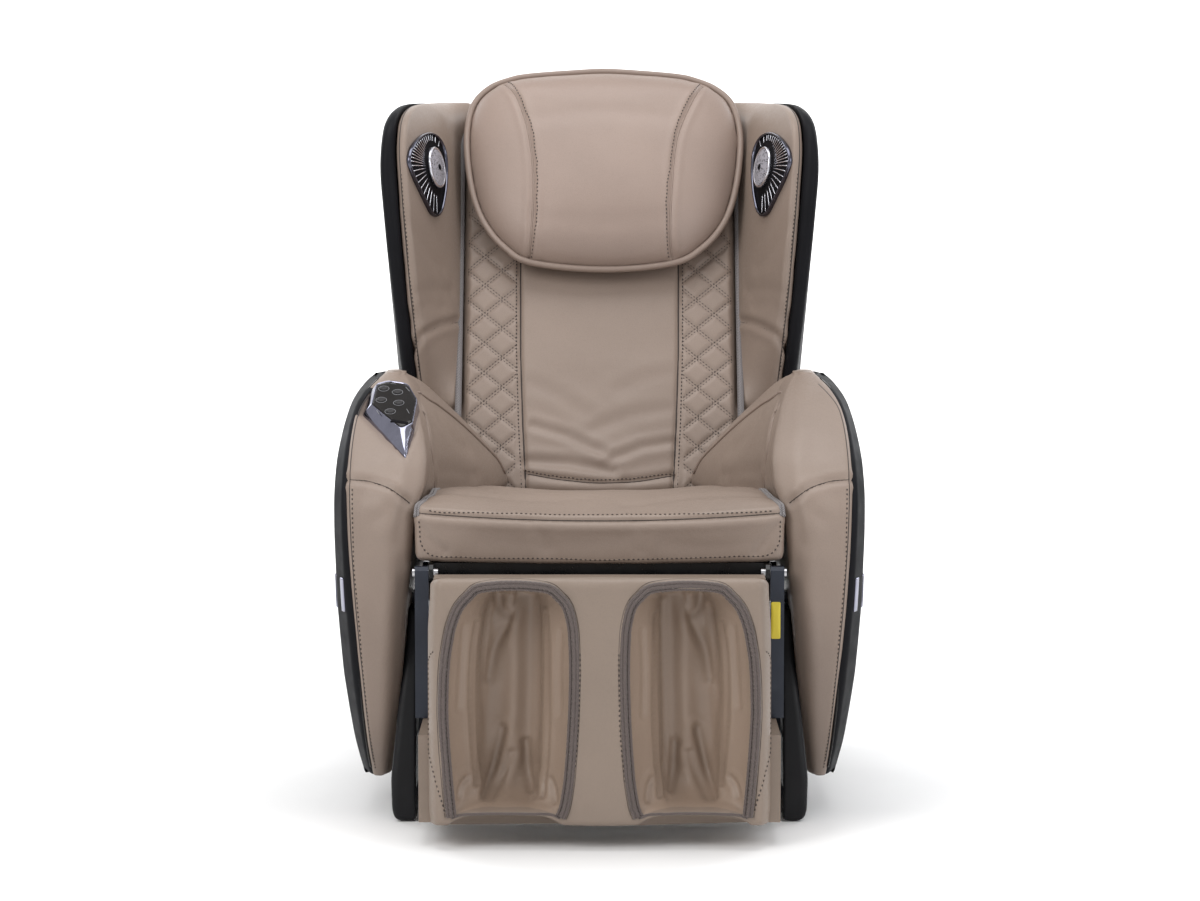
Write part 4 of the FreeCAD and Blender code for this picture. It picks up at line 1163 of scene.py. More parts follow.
def seat():
    xs = np.concatenate([np.linspace(-254, -246, 7), np.linspace(-242, 242, 122), np.linspace(246, 254, 7)])
    R = []
    for x in xs:
        k = max(0.0, (abs(x) - 244) / 10.0)
        e = 6.0 * (1 - math.sqrt(max(0.0, 1 - min(1, k) ** 2)))
        zf = 424.0 + 11.0 * (x / 254.0) ** 2
        zb = 361.0 + 5.0 * (x / 254.0) ** 2
        front = [(8, zb), (2.2, zb + 2.5), (0.2, zb + 9), (-0.5, (zf + zb) / 2), (0.3, zf - 9), (1.6, zf - 3.0), (6.0, zf + 2.0)]
        d = np.linspace(14, 446, 84)
        top = np.stack([d, seat_top(np.full_like(d, x), d)], -1)
        back = [(458, 392), (463, 384), (463, 372)]
        bot = np.stack([np.linspace(452, 24, 18), np.full(18, 364.5)], -1)
        fr = cr_open(np.array(front), 26)
        P = np.concatenate([fr, top, back, bot])
        drop_side = 15.0 * sstep(abs(x), 222, 254) ** 2
        up = P[:, 1] > 400
        P[:, 1] -= np.where(up, drop_side * np.clip((P[:, 1] - 400) / 40, 0, 1) * sstep(P[:, 0], 12, 90), 0)
        if e:
            c = np.array([(P[:, 0].max() + P[:, 0].min()) / 2, (P[:, 1].max() + P[:, 1].min()) / 2])
            v = P - c
            lim = np.array([(P[:, 0].max() - P[:, 0].min()) / 2, (P[:, 1].max() - P[:, 1].min()) / 2])
            P = c + v * (lim - e) / lim
        R.append(np.stack([np.full(len(P), x), P[:, 0], P[:, 1]], -1))
    V, F = rings(W(np.array(R)))
    o = make("seat_cushion_form", V, F, M_LEA, "base", rep=("seat_cushion",))
    xx = np.linspace(-250, 250, 160)
    edge = W(np.stack([xx, np.full_like(xx, 4.0), 424.0 + 11.0 * (xx / 254.0) ** 2 - 1.0], -1))
    cor = W(np.stack([np.repeat([-252.0, 252.0], 40), np.tile(np.full(40, 6.0), 2),
                      np.tile(np.linspace(366, 434, 40), 2)], -1))
    low = W(np.stack([xx, np.full_like(xx, 8.0), 361 + 5.0 * (xx / 254.0) ** 2 + 3.0], -1))
    pins = np.concatenate([edge, cor, low])
    puff(o, voxel=0.005, pins=pins, pin_r=0.008, cap=0.009, pressure=3.2,
         keep=lambda P: (P[:, 2] < 0.372) | (P[:, 1] > (462 + YS) / 1000.0) | (np.abs(P[:, 0]) > 0.2525)
         | ((P[:, 1] < (8 + YS) / 1000.0) & (P[:, 2] < 0.420)))
    relax(o, 2)
    subdivided(o)
    fwd, down = (0, 1, 0), (0, 0, -1)
    # front seam
    q = np.stack([xx, np.full_like(xx, -60.0), 424.0 + 11.0 * (xx / 254.0) ** 2 - 2.5], -1)
    H, _ = drop(tree(o), W(q), fwd)
    crease(o, H, 0.0040, 0.0045, 0.0012)
    # long soft pulls in the top leather and the apron, from sitting
    for c, dp, wd in (([(-228, 95), (-120, 84), (-20, 110)], 0.0018, 0.012), ([(40, 70), (130, 92), (224, 66)], 0.0018, 0.012),
                      ([(-200, 190), (-90, 176), (30, 205)], 0.0016, 0.016), ([(60, 250), (140, 232), (226, 260)], 0.0014, 0.016),
                      ([(-60, 300), (30, 318), (120, 300)], 0.0016, 0.016), ([(-215, 330), (-150, 300), (-110, 260)], 0.0018, 0.012)):
        c = cr_open(np.array(c, float), 60)
        H, _ = drop(tree(o), W(np.stack([c[:, 0], c[:, 1], np.full(len(c), 520.0)], -1)), down)
        crease(o, H, dp, wd, 0.0008)
    for c, dp, wd in (([(-246, 420), (-236, 400), (-214, 380)], 0.0022, 0.006), ([(246, 418), (232, 402), (216, 378)], 0.0020, 0.006),
                      ([(-160, 396), (-60, 390), (40, 396)], 0.0009, 0.012), ([(90, 392), (150, 386), (214, 394)], 0.0010, 0.011),
                      ([(-96, 420), (-82, 404), (-74, 384)], 0.0009, 0.008), ([(52, 419), (60, 402), (58, 382)], 0.0009, 0.008)):
        c = cr_open(np.array(c, float), 50)
        H, _ = drop(tree(o), W(np.stack([c[:, 0], np.full(len(c), -60.0), c[:, 1]], -1)), fwd)
        crease(o, H, dp, wd, 0.0006)
    seam("seat_front_seam", o, W(q), fwd, "base", M_STI, r=0.0010, stitch=())
    q2 = np.stack([xx[4:-4], np.full(len(xx) - 8, 13.0), np.full(len(xx) - 8, 520.0)], -1)
    seam("seat_top_row", o, W(q2), down, "base", r=0.0, stitch=(0.0,), pitch=0.0066)
    c = np.array([(-245, 424), (-245.5, 382), (-243, 376), (-237, 374.5), (0, 370), (237, 374.5), (243, 376), (245.5, 382), (245, 424)], float)
    c = resample(c, step=5.0)
    seam("seat_apron_row", o, W(np.stack([c[:, 0], np.full(len(c), -60.0), c[:, 1]], -1)), fwd, "base", r=0.0,
         stitch=(0.0,), pitch=0.0066)
    for s in (-1, 1):
        c = cr_open(np.array([(252, 6, 430), (250, 18, 441), (245, 42, 449), (239, 75, 452), (233, 115, 449),
                              (230, 170, 440)], float), 60)
        p = W(c * [s, 1, 1])
        H, N = drop(tree(o), p + np.array([0, 0, 0.06]), down)
        if len(H) > 5:
            for k, off in enumerate((-0.0021, 0.0021)):
                V, F = tube_vf(H + np.array([s * off, 0, 0.0012]), 0.0023, 8)
                make(f"seat_piping_{'l' if s < 0 else 'r'}{k}", V, F, M_SATIN, "base")
    return o


seat()


# ------------------------------------------------------------------ arms
a_in = S([45, 100, 200, 300, 400, 436, 462, 500, 530, 560, 590, 606], [297, 287, 275, 267, 258.5, 255.5, 243, 240.5, 246, 256, 266, 270], 8)
a_mid = S([45, 100, 200, 300, 400, 455, 514, 545, 571, 588, 600, 606],
          [321, 326, 333, 341, 347, 349, 349, 347, 341, 331, 320, 312], 9)
a_out = S([45, 100, 200, 300, 400, 455, 500, 540, 571, 590, 606], [336, 346, 358, 365, 368.5, 369, 367, 361, 353, 343, 330], 9)
a_f = S([45, 75, 100, 150, 200, 250, 300, 400, 440, 470, 500, 530, 560, 580, 596, 606],
        [118, 92, 73, 45, 26, 13, 6, 3, 7, 20, 44, 84, 132, 172, 212, 250], 9)
a_r = S([45, 75, 100, 200, 300, 400, 450, 500, 540, 575, 606], [205, 282, 330, 470, 545, 574, 568, 510, 445, 390, 350], 16)


def dome(z, top=607.0, r=46.0, bottom=45.0, rb=12.0):
    e = 0.0
    if z > top - r:
        e = r * (1 - math.sqrt(max(0.0, 1 - ((z - top + r) / r) ** 2)))
    if z < bottom + rb:
        e = max(e, rb * (1 - math.sqrt(max(0.0, 1 - ((bottom + rb - z) / rb) ** 2))))
    return e


def arm(s):
    side = "left" if s < 0 else "right"
    zs = np.concatenate([np.linspace(45, 57, 7)[:-1], np.linspace(57, 560, 112)[:-1],
                         607 - 46 + 46 * np.sin(np.linspace(0, math.pi / 2 * 0.985, 26))])
    R = []
    for z in zs:
        xi, xm, yf, yr = float(a_in(z)), float(a_mid(min(z, 606))), float(a_f(z)), float(a_r(z))
        e = dome(z)
        ei = min(e * 0.50, (xm - xi) * 0.30)
        eo = min(e * 0.10, 5.0)
        xi2, xo2 = xi + ei, xm - eo
        if xo2 - xi2 < 10:
            m = (xo2 + xi2) / 2
            xi2, xo2 = m - 5, m + 5
        w = xo2 - xi2
        P = rpoly([(xi2, yf + 20 + e * 0.35), (xi2 + w * 0.30, yf + e * 0.2), (xo2, yf + 4 + e * 0.2),
                   (xo2, yr - 4 - e * 0.5), (xi2 + w * 0.4, yr - e * 0.5), (xi2, yr - 30 - e * 0.6)],
                  [22, 26, 11, 10, 16, 24], k=6, m=[3, 8, 40, 4, 3, 40])
        bul = 3.0 * np.sin(np.clip((P[:, 1] - yf) / max(yr - yf, 1), 0, 1) * math.pi)
        P[:, 0] -= np.where(P[:, 0] < xi2 + 2, bul, 0)
        R.append(np.stack([s * P[:, 0], P[:, 1], np.full(len(P), z)], -1))
    R = np.array(R)
    nz = waves(R, 190.0, 31, 5)
    R[..., 1] += 0.9 * nz * (R[..., 1] < 250)
    V, F = rings(W(R))
    o = make("arm_" + side + "_form", V, F, M_LEA, "base", rep=("arm_pad_" + side,))
    fwd = (0, 1, 0)
    P3 = lambda c: W(np.stack([s * c[:, 0], np.full(len(c), -80.0), c[:, 1]], -1))
    dart = cr_open(np.array([(346, 476), (320, 474), (292, 466), (276, 456), (262, 444)], float), 70)
    H, _ = drop(tree(o), P3(dart), fwd)
    crease(o, H, 0.0035, 0.0045, 0.0014)
    for q, dp, wd in (([(300, 480), (296, 500), (298, 526)], 0.0010, 0.012), ([(322, 470), (328, 440), (324, 400)], 0.0010, 0.014),
                      ([(280, 452), (290, 436), (306, 424)], 0.0013, 0.008), ([(268, 446), (276, 420), (280, 392)], 0.0014, 0.009),
                      ([(300, 330), (312, 300), (308, 260)], 0.0008, 0.016)):
        H, _ = drop(tree(o), P3(cr_open(np.array(q, float), 40)), fwd)
        crease(o, H, dp, wd, 0.0006)
    seam("arm_dart_" + side, o, P3(dart), fwd, "base", r=0.0008, stitch=())
    z = np.linspace(70, 594, 200)
    ed = np.stack([a_mid(z) - 4.5 - 9 * sstep(z, 560, 606), z], -1)
    seam("arm_edge_" + side, o, P3(ed), fwd, "base", r=0.0010, stitch=())
    seam("arm_sewn_" + side, o, P3(ed[ed[:, 1] < 462] - [5.0, 0]), fwd, "base", r=0.0, stitch=(0.0,), pitch=0.0066)
    # piping between leather and shell
    zp = np.linspace(60, 598, 180)
    pf = np.stack([s * (a_mid(zp) + 0.5 - 5 * sstep(zp, 575, 606)), a_f(zp) + 8 + 0.02 * zp, zp], -1)
    V, F = tube_vf(W(pf), 0.0024, 8)
    make("arm_bead_" + side, V, F, M_GLOSS, "base")

    # shell
    R = []
    zs2 = np.concatenate([np.linspace(45, 57, 7)[:-1], np.linspace(57, 566, 96)[:-1],
                          604 - 38 + 38 * np.sin(np.linspace(0, math.pi / 2 * 0.985, 18))])
    for z in zs2:
        xm, xo, yf, yr = float(a_mid(z)) - 5, float(a_out(z)), float(a_f(z)), float(a_r(z))
        e = dome(z, 604.0, 38.0)
        xm2 = xm - min(e * 0.2, 6)
        xo2 = max(xo - min(e * 0.25, 7), xm2 + 8)
        w = xo2 - xm2
        P = rpoly([(xm2, yf + 9 + e * 0.4), (xm2 + w * 0.45, yf + 10 + e * 0.4), (xo2, yf + 46 + e * 0.5),
                   (xo2, yr - 60 - e * 0.6), (xm2 + w * 0.5, yr - 6 - e * 0.5), (xm2, yr - 5 - e * 0.5)],
                  [2, 10, 26, 26, 10, 2], k=6, m=[2, 6, 40, 6, 2, 30])
        t = np.clip((P[:, 1] - yf) / max(yr - yf, 1), 0, 1)
        # a wide shallow channel sweeps along the outside
        zc = 250 + 120 * t
        g = np.exp(-((z - zc) / 7.0) ** 2) * sstep(t, 0.1, 0.2) * (1 - sstep(t, 0.8, 0.92))
        P[:, 0] -= np.where(P[:, 0] > xo2 - 3, 2.4 * g, 0)
        R.append(np.stack([s * P[:, 0], P[:, 1], np.full(len(P), z)], -1))
    V, F = rings(W(np.array(R)))
    sh = make("arm_shell_" + side + "_form", V, F, M_SHELL, "base", rep=("arm_shell_" + side,))

    # dark badge-less trim with a bright rim, set in the shell beside the front edge
    t = tree(sh)
    out = rpoly([(62, 293), (112, 296), (114, 338), (66, 341)], [4, 7, 7, 4], 5, 5)
    pr = W(np.stack([np.full(len(out), s * 420.0), out[:, 0], out[:, 1]], -1))
    H, N = drop(t, pr, (-s, 0, 0))
    if len(H) == len(out):
        c = H.mean(0)
        ex = np.array([s * 1.0, 0, 0])
        R = [H - ex * 0.004, H + ex * 0.0016, c + (H - c) * 0.97 + ex * 0.0024, c + (H - c) * 0.88 + ex * 0.0022,
             c + (H - c) * 0.86 + ex * 0.0010, c + (H - c) * 0.3 + ex * 0.0012]
        V, F = rings(R)
        make("arm_trim_" + side, V, F, M_CHROME, "base", rep=("arm_trims",))
        V, F = rings([c + (H - c) * 0.87 + ex * 0.0004, c + (H - c) * 0.86 + ex * 0.0016,
                      c + (H - c) * 0.80 + ex * 0.0021, c + (H - c) * 0.3 + ex * 0.0023])
        make("arm_trim_face_" + side, V, F, M_GLOSS, "base")
    # bright strip along the front of the shell at the trim, as wide as the lip
    q = np.linspace(293, 340, 24)
    lip = W(np.stack([s * ((a_mid(q) + a_out(q)) / 2 + 1.0), a_f(q) + 12.0, q], -1))
    H, N = drop(t, lip - np.array([0, 0.1, 0]), (0, 1, 0))
    if len(H) > 6:
        R = []
        for h, nn in zip(H, N):
            sq = rpoly([(-6.0, -1.0), (6.0, -1.0), (6.0, 1.6), (-6.0, 1.6)], [0.8] * 4, 3, 3) / 1000.0
            a = np.cross(nn, [0, 0, 1.0])
            a /= np.linalg.norm(a)
            R.append(h + sq[:, :1] * a + sq[:, 1:] * nn)
        V, F = rings(R)
        make("arm_lip_trim_" + side, V, F, M_CHROME, "base")
    return o, sh


ARMS = {s: arm(s) for s in (-1, 1)}


# ------------------------------------------------------------------ padded wings between arms and back
HA = cr_open(np.array([(288, 597), (276, 586), (259, 560), (248, 530), (242, 500), (242, 466), (246, 424)], float), 40)
HB = cr_open(np.array([(288, 596), (262, 580), (234, 553), (205, 524), (172, 488), (150, 462), (139, 438), (136, 420)], float), 40)


AF_Z = np.linspace(440, 606, 80)
AF_D = a_f(AF_Z)


def hip(s):
    side = "left" if s < 0 else "right"
    R = []
    D = np.concatenate([np.linspace(96, 130, 10), np.linspace(136, 484, 72), np.linspace(487, 508, 14)])
    for d in D:
        k = float(sstep((d - 118) / 360.0, 0, 1)) * 0.55 + max(0.0, min(1.0, (d - 118) / 362.0)) * 0.45
        prof = HA * (1 - k) + HB * k
        # swells like stuffing across the face
        t = np.linspace(0, 1, len(prof))
        tn = np.gradient(prof, axis=0)
        tn /= np.linalg.norm(tn, axis=1)[:, None]
        nrm = np.stack([tn[:, 1], -tn[:, 0]], -1)
        nrm *= np.sign(-nrm[:, :1] + 1e-9)
        prof = prof + nrm * (np.sin(math.pi * t) * 5.0 * math.sin(math.pi * min(1, max(0, (d - 100) / 400))))[:, None]
        if d < 130:
            f = 1 - math.sqrt(max(0.0, 1 - ((130 - d) / 34.0) ** 2))
            prof = prof + (np.array([276, 0]) - prof) * [f, 0]
        if d > 486:
            f = 1 - math.sqrt(max(0.0, 1 - ((d - 486) / 22.0) ** 2))
            prof = prof + (np.array([278, 430.0]) - prof) * (f * 0.30)
        prof[:, 1] = np.maximum(prof[:, 1], 420 - 8 * k)
        cap = float(np.interp(d, AF_D, AF_Z)) - 7.0 if d < 300 else 600.0
        prof[:, 1] = np.minimum(prof[:, 1], cap - np.maximum(0, 276 - prof[:, 0]) * 0.10)
        rest = np.array([(200, 418), (262, 418), (280, 440), (284, 480), (288, 520)], float)
        if prof[-1][0] < 205:
            pass
        P = np.concatenate([prof, rest])
        dd = np.full(len(P), d)
        # rear edge leans forward at its foot
        dd = dd - (d > 470) * 0 - np.concatenate([16 * (1 - t) * k ** 3 * 4, np.zeros(len(rest))]) * (-1 if False else 1)
        R.append(np.stack([s * P[:, 0], dd, P[:, 1]], -1))
    V, F = rings(W(np.array(R)))
    o = make("hip_pad_" + side + "_form", V, F, M_LEA, "base", rep=("hip_pads",))
    rm = o.modifiers.new("skin", "REMESH")
    rm.mode = "VOXEL"
    rm.voxel_size = 0.004
    dg = bpy.context.evaluated_depsgraph_get()
    me = bpy.data.meshes.new_from_object(o.evaluated_get(dg))
    o.modifiers.clear()
    o.data = me
    me.polygons.foreach_set("use_smooth", [True] * len(me.polygons))
    relax(o, 8)
    fwd = (0, 1, 0)
    P3 = lambda c: W(np.stack([s * c[:, 0], np.full(len(c), 60.0), c[:, 1]], -1))
    # front seam against the arm
    fs = cr_open(np.array([(270, 584), (256, 566), (246, 545), (240, 520), (236, 495), (234, 470), (234, 446)], float), 60)
    H, _ = drop(tree(o), P3(fs), fwd)
    if len(H) > 4:
        crease(o, H, 0.0030, 0.0045, 0.0012)
        seam("hip_seam_" + side, o, P3(fs), fwd, "base", M_WELT, r=0.0013, stitch=())
    for q, dp, wd in (([(232, 540), (214, 512), (196, 492)], 0.0010, 0.012), ([(228, 470), (206, 462), (180, 452)], 0.0014, 0.009),
                      ([(234, 452), (212, 444), (190, 440)], 0.0012, 0.008)):
        H, _ = drop(tree(o), P3(cr_open(np.array(q, float), 40)), fwd)
        if len(H) > 4:
            crease(o, H, dp, wd, 0.0007)
    # welt along the rear edge
    c = cr_open(np.array([(262, 578), (236, 553), (207, 524), (175, 489), (153, 463), (142, 441)], float), 70)
    H, N = drop(tree(o), P3(c), fwd)
    if len(H) > 6:
        V, F = tube_vf(H + N * 0.0008, 0.0019, 8)
        make("hip_welt_" + side, V, F, M_WELT, "base")
    return o


hip(-1)
hip(1)


# ------------------------------------------------------------------ controller on the left arm
def K(P):
    """Controller frame (across, up the slope, out of the face) to metres."""
    P = np.asarray(P, float)
    v = P[..., 1] * 0.93
    return W(np.stack([-297 + P[..., 0], 130 + v * CL - P[..., 2] * SL,
                       554 + v * SL + P[..., 2] * CL], -1))


def sink_under_controller(o):
    """The leather is pressed flat where the controller sits on it."""
    me = o.data
    n = len(me.vertices)
    co = np.empty(n * 3)
    me.vertices.foreach_get("co", co)
    co = co.reshape(-1, 3)
    x, d, z = co[:, 0] * 1000, co[:, 1] * 1000 - YS, co[:, 2] * 1000
    u = x + 297
    v = ((d - 130) * CL + (z - 554) * SL) / 0.93
    w = -(d - 130) * SL + (z - 554) * CL
    poly = np.array([(-36, 16), (-30, 84), (-6, 94), (26, 86), (43, 34), (38, -30), (29, -102)], float)
    hit = inside(np.stack([u, v], -1), poly) & (w > -9) & (w < 60)
    near = polydist(np.stack([u, v], -1), np.concatenate([poly, poly[:1]]))
    k = np.where(hit, -9 - w, 0.0)
    ring = (~hit) & (near < 14) & (w > -9) & (w < 60)
    k = np.where(ring, (-7 - w) * (1 - sstep(near, 0, 14)), k)
    co[:, 1] += -k * SL / 1000.0
    co[:, 2] += k * CL / 1000.0
    me.vertices.foreach_set("co", co.ravel())
    me.update()


def controller():
    low = rpoly([(-38, 16), (-30, 84), (-6, 94), (26, 86), (43, 34), (38, -30), (29, -102)],
                [12, 10, 18, 22, 22, 30, 3], 8, 6)
    top = rpoly([(-25, 22), (-20, 82), (-4, 91), (24, 84), (40, 36), (36, -30), (20, -46)],
                [10, 9, 16, 20, 22, 10, 6], 8, 6)
    mid = low * 0.5 + top * 0.5
    cen = np.array([8.0, 24.0])

    def lay(P, h, f=1.0):
        Q = cen + (P - cen) * f
        return K(np.concatenate([Q, np.full((len(Q), 1), h)], 1))

    R = [lay(low, -22, 0.99), lay(low, -10, 1.0), lay(low * 0.9 + top * 0.1, -5.5), lay(mid, 0.5), lay(top * 0.8 + low * 0.2, 5.0),
         lay(top, 7.6, 1.0), lay(top, 8.2, 0.975), lay(top, 7.6, 0.955), lay(top, 6.2, 0.945), lay(top, 5.6, 0.5)]
    V, F = rings(R)
    o = make("controller_bezel_form", V, F, M_CHROME, "base", rep=("controller_bezel",))
    R = [lay(top, 5.0, 0.95), lay(top, 7.4, 0.95), lay(top, 8.3, 0.925), lay(top, 8.5, 0.8), lay(top, 8.1, 0.4), lay(top, 8.0, 0.1)]
    V, F = rings(R)
    p = make("controller_panel_form", V, F, M_GLOSS, "base", rep=("controller_panel",))
    # raised rings and plain marks
    parts = []
    th = np.linspace(0, 2 * math.pi, 28, endpoint=False)
    spots = {"button_power": (-9, 66), "button_program": (11, 56), "button_recline": (-11, 34),
             "button_upright": (14, 26), "button_speed": (3, 2)}
    for nm, (u, v) in spots.items():
        c = np.stack([u + 7.4 * np.cos(th), v + 7.4 * np.sin(th), np.full(28, 8.3)], -1)
        parts.append(tube_vf(K(c), 0.00045, 6, closed=True))
        R = []
        for r, h in ((5.5, 4.4), (5.6, 8.6), (5.2, 9.6), (4.2, 10.1), (2.2, 9.8), (0.6, 9.7)):
            R.append(K(np.stack([u + r * np.cos(th), v + r * np.sin(th), np.full(28, h)], -1)))
        V, F = rings(R)
        make(nm + "_cap", V, F, M_BTN, nm, rep=(nm,))
    for (u0, v0, u1, v1) in ((22, 70, 28, 58), (26, 8, 30, -4), (-16, 4, -12, -6), (0, 80, 8, 79)):
        c = np.stack([np.linspace(u0, u1, 6), np.linspace(v0, v1, 6), np.full(6, 8.5)], -1)
        parts.append(tube_vf(K(c), 0.0005, 6))
    v, f = join(parts)
    make("controller_marks", v, f, M_ICON, "base")
    sl = rpoly([(4, -26), (28, -34), (30, -28), (6, -20)], [1.5] * 4, 4, 4)
    V, F = rings([K(np.concatenate([sl, np.full((len(sl), 1), h)], 1)) if h < 8.7 else
                  K(np.concatenate([sl.mean(0) + (sl - sl.mean(0)) * 0.9, np.full((len(sl), 1), h)], 1))
                  for h in (7.0, 8.6, 9.0)])
    make("controller_window", V, F, M_DARK, "base")


sink_under_controller(ARMS[-1][0])
controller()


# ------------------------------------------------------------------ calf rest
c_out = S([36, 57, 94, 139, 185, 230, 262, 299, 325, 340, 352], [196.5, 198.5, 202, 205.5, 208, 207, 204.5, 198, 189, 178, 160], 6)
c_inn = S([36, 57, 94, 139, 185, 230, 262, 299, 325, 340, 352], [57, 47, 41, 37.5, 35, 33.7, 33.8, 35.5, 41, 49, 70], 6)


WELL = S([0, 0.30, 0.40, 0.47, 0.54, 0.60, 0.68, 0.78, 0.88, 0.95, 1.0],
         [1.0, 0.98, 0.93, 0.80, 0.62, 0.52, 0.46, 0.37, 0.25, 0.13, 0.0], 0.016)


def calf_rest():
    nv = 132
    vs = np.concatenate([np.linspace(0, 0.03, 7)[:-1], np.linspace(0.03, 0.955, nv), np.linspace(0.955, 1, 9)[1:]])
    # columns: outer border, well, middle, well, outer border (mirrored)
    nb, nw, nc = 16, 62, 11
    R, mats = [], []
    for v in vs:
        z0 = 33.0 + v * (366.0 - 33.0)
        xo_w, xi_w = float(c_out(z0)), float(c_inn(z0))
        mid, half = (xo_w + xi_w) / 2, (xo_w - xi_w) / 2
        xe = 229.0 - 3.0 * sstep(z0, 300, 356) - 1.5 * sstep(-z0, -60, -33)
        # a half row, from the outer edge to the middle
        b = np.linspace(0, 1, nb, endpoint=False)
        xb = xe + (xo_w + 2 - xe) * b
        t = np.linspace(0, 1, nw)
        tt = 0.5 - 0.5 * np.cos(math.pi * t)
        tt = 0.55 * tt + 0.45 * t
        xw = (xo_w + 2) + ((xi_w - 2) - (xo_w + 2)) * tt
        xc = (xi_w - 2) * (1 - np.linspace(0, 1, nc + 1)[1:])
        X = np.concatenate([xb, xw, xc])
        # face height: border crowned and rolled at the outer edge
        Y = np.full(len(X), -185.0)
        k = np.clip((X - 206) / (xe - 206 + 1e-6), 0, 1)
        Y += 26.0 * k ** 3.2
        Y -= 2.5 * np.exp(-((X - 216) / 9.0) ** 2)
        Y -= 3.0 * np.clip(1 - (X / 40.0) ** 2, 0, 1) ** 0.7
        # well depth
        u = np.clip((mid - X) / half, -1, 1)
        side = WELL(np.abs(u))
        vt = np.clip((350.0 - z0) / 20.0, 0, 1)
        vt = math.sqrt(max(0.0, 1 - (1 - vt) ** 2)) if z0 < 350 else 0.0
        vb = np.clip((z0 - 44.0) / 50.0, 0, 1)
        vb = 0.30 + 0.70 * math.sqrt(max(0.0, 1 - (1 - vb) ** 2)) if z0 > 44 else 0.30 * float(sstep(z0, 36, 44))
        D = 96.0 * side * vt * vb
        inw = (np.abs(u) < 1)
        # airbag pads at the sides, a soft ridge in the middle, folds running down
        q = (z0 - 45) / 305.0
        rel = np.zeros_like(X)
        pad = lambda c, w, a: a * np.exp(-((u - c) / w) ** 2)
        rel += pad(-0.04 + 0.10 * math.sin(q * 3), 0.15, 11.0)
        rel -= pad(-0.60 + 0.02 * math.sin(5 * q), 0.030, 6.0) + pad(0.60 + 0.02 * math.sin(5 * q + 1), 0.030, 6.0)
        rel -= pad(-0.46 + 0.02 * math.sin(4 * q), 0.030, 5.0) + pad(0.45 + 0.02 * math.sin(4 * q + 2), 0.030, 5.0)
        rel *= side * vt * (0.4 + 0.6 * min(1, max(0, (z0 - 44) / 30.0)))
        Y += D - rel * (D > 8)
        # scalloped lower edge
        zb = 33.0 + 15.0 * np.clip(1 - ((X - mid) / (half + 6)) ** 4, 0, 1)
        zt = 366.0 - 20.0 * (1 - np.sqrt(np.clip(1 - np.clip((X - 208) / 22.0, 0, 1) ** 2, 0, 1)))
        Z = zb + v * (zt - zb)
        row = np.stack([X, Y, Z], -1)
        if v < 0.03:
            f = 1 - math.sqrt(max(0.0, 1 - (1 - v / 0.03) ** 2))
            row[:, 1] += f * 9.0
        if v > 0.955:
            f = 1 - math.sqrt(max(0.0, 1 - ((v - 0.955) / 0.045) ** 2))
            row[:, 1] += f * 12.0
        left = row * [-1, 1, 1]
        full = np.concatenate([left, row[::-1][1:]])
        nz = waves(full, 120.0, 44, 5)
        full[:, 1] += 0.8 * nz
        # fold differences between the two wells keep them from being mirror twins
        bk = []
        for x, y in ((xe, -150.0), (xe - 3, -66.0), (xe - 6, -62.0), (0, -62.0), (-xe + 6, -62.0), (-xe + 3, -66.0), (-xe, -150.0)):
            zz = min(352.0 if y > -140 else 362.0, max(33.0, z0))
            if abs(x) > 220 and v > 0.9:
                zz = min(zz, 340.0 + 0 * x)
            bk.append((min(max(x, -226.0), 226.0) if y > -140 else x, y, zz))
        R.append(np.concatenate([full, np.array(bk)]))
        m = np.zeros(len(R[-1]), int)
        inside_w = np.concatenate([(np.abs(u) < 0.985) & (z0 < 348) & (z0 > 40)])
        mm = np.concatenate([inside_w, inside_w[::-1][1:]])
        m[:len(mm)] = mm
        mats.append(m)
    R = np.array(R)
    V, F = rings(W(R))
    # the calf face is in the darker copy of the taupe leather, painted shade
    o = make("calf_rest_form", V, F, M_CALF_SHADED, "calf_rest", rep=("calf_cushion",))
    o.data.materials.append(M_LIN)
    n = R.shape[1]
    flags = np.array(mats).reshape(-1)
    idx = np.zeros(len(o.data.polygons), int)
    for i, p in enumerate(o.data.polygons):
        if all(flags[j] for j in p.vertices):
            idx[i] = 1
    o.data.polygons.foreach_set("material_index", idx)
    relax(o, 1, 0.4)
    t = tree(o)
    fwd = (0, 1, 0)
    for s in (-1, 1):
        sd = "left" if s < 0 else "right"
        z = np.linspace(46, 340, 80)
        arch = cr_open(np.array([(c_out(340.0), 340), (163, 352), (140, 356), (116, 357), (92, 356), (66, 352),
                                 (c_inn(340.0), 340)], float), 40)
        foot = cr_open(np.array([(c_inn(46.0), 46), (72, 50.5), (124, 52), (176, 50.5), (c_out(46.0), 46)], float), 40)
        loop = np.concatenate([np.stack([c_out(z), z], -1), arch[1:-1], np.stack([c_inn(z), z], -1)[::-1]])
        c2 = np.array([122.0, 190.0])
        for k, (off, r) in enumerate(((4.6, 2.7), (0.2, 3.0), (-4.4, 2.5))):
            d = loop - c2
            g = np.gradient(loop, axis=0)
            g /= np.linalg.norm(g, axis=1)[:, None]
            nn = np.stack([g[:, 1], -g[:, 0]], -1)
            nn *= np.sign((nn * d).sum(1))[:, None]
            P = loop + nn * off
            base = np.full(len(P), (-186.4, -186.8, -183.5)[k])
            p3 = np.stack([s * P[:, 0], base, P[:, 1]], -1)
            p3 = resample(p3, step=2.0)
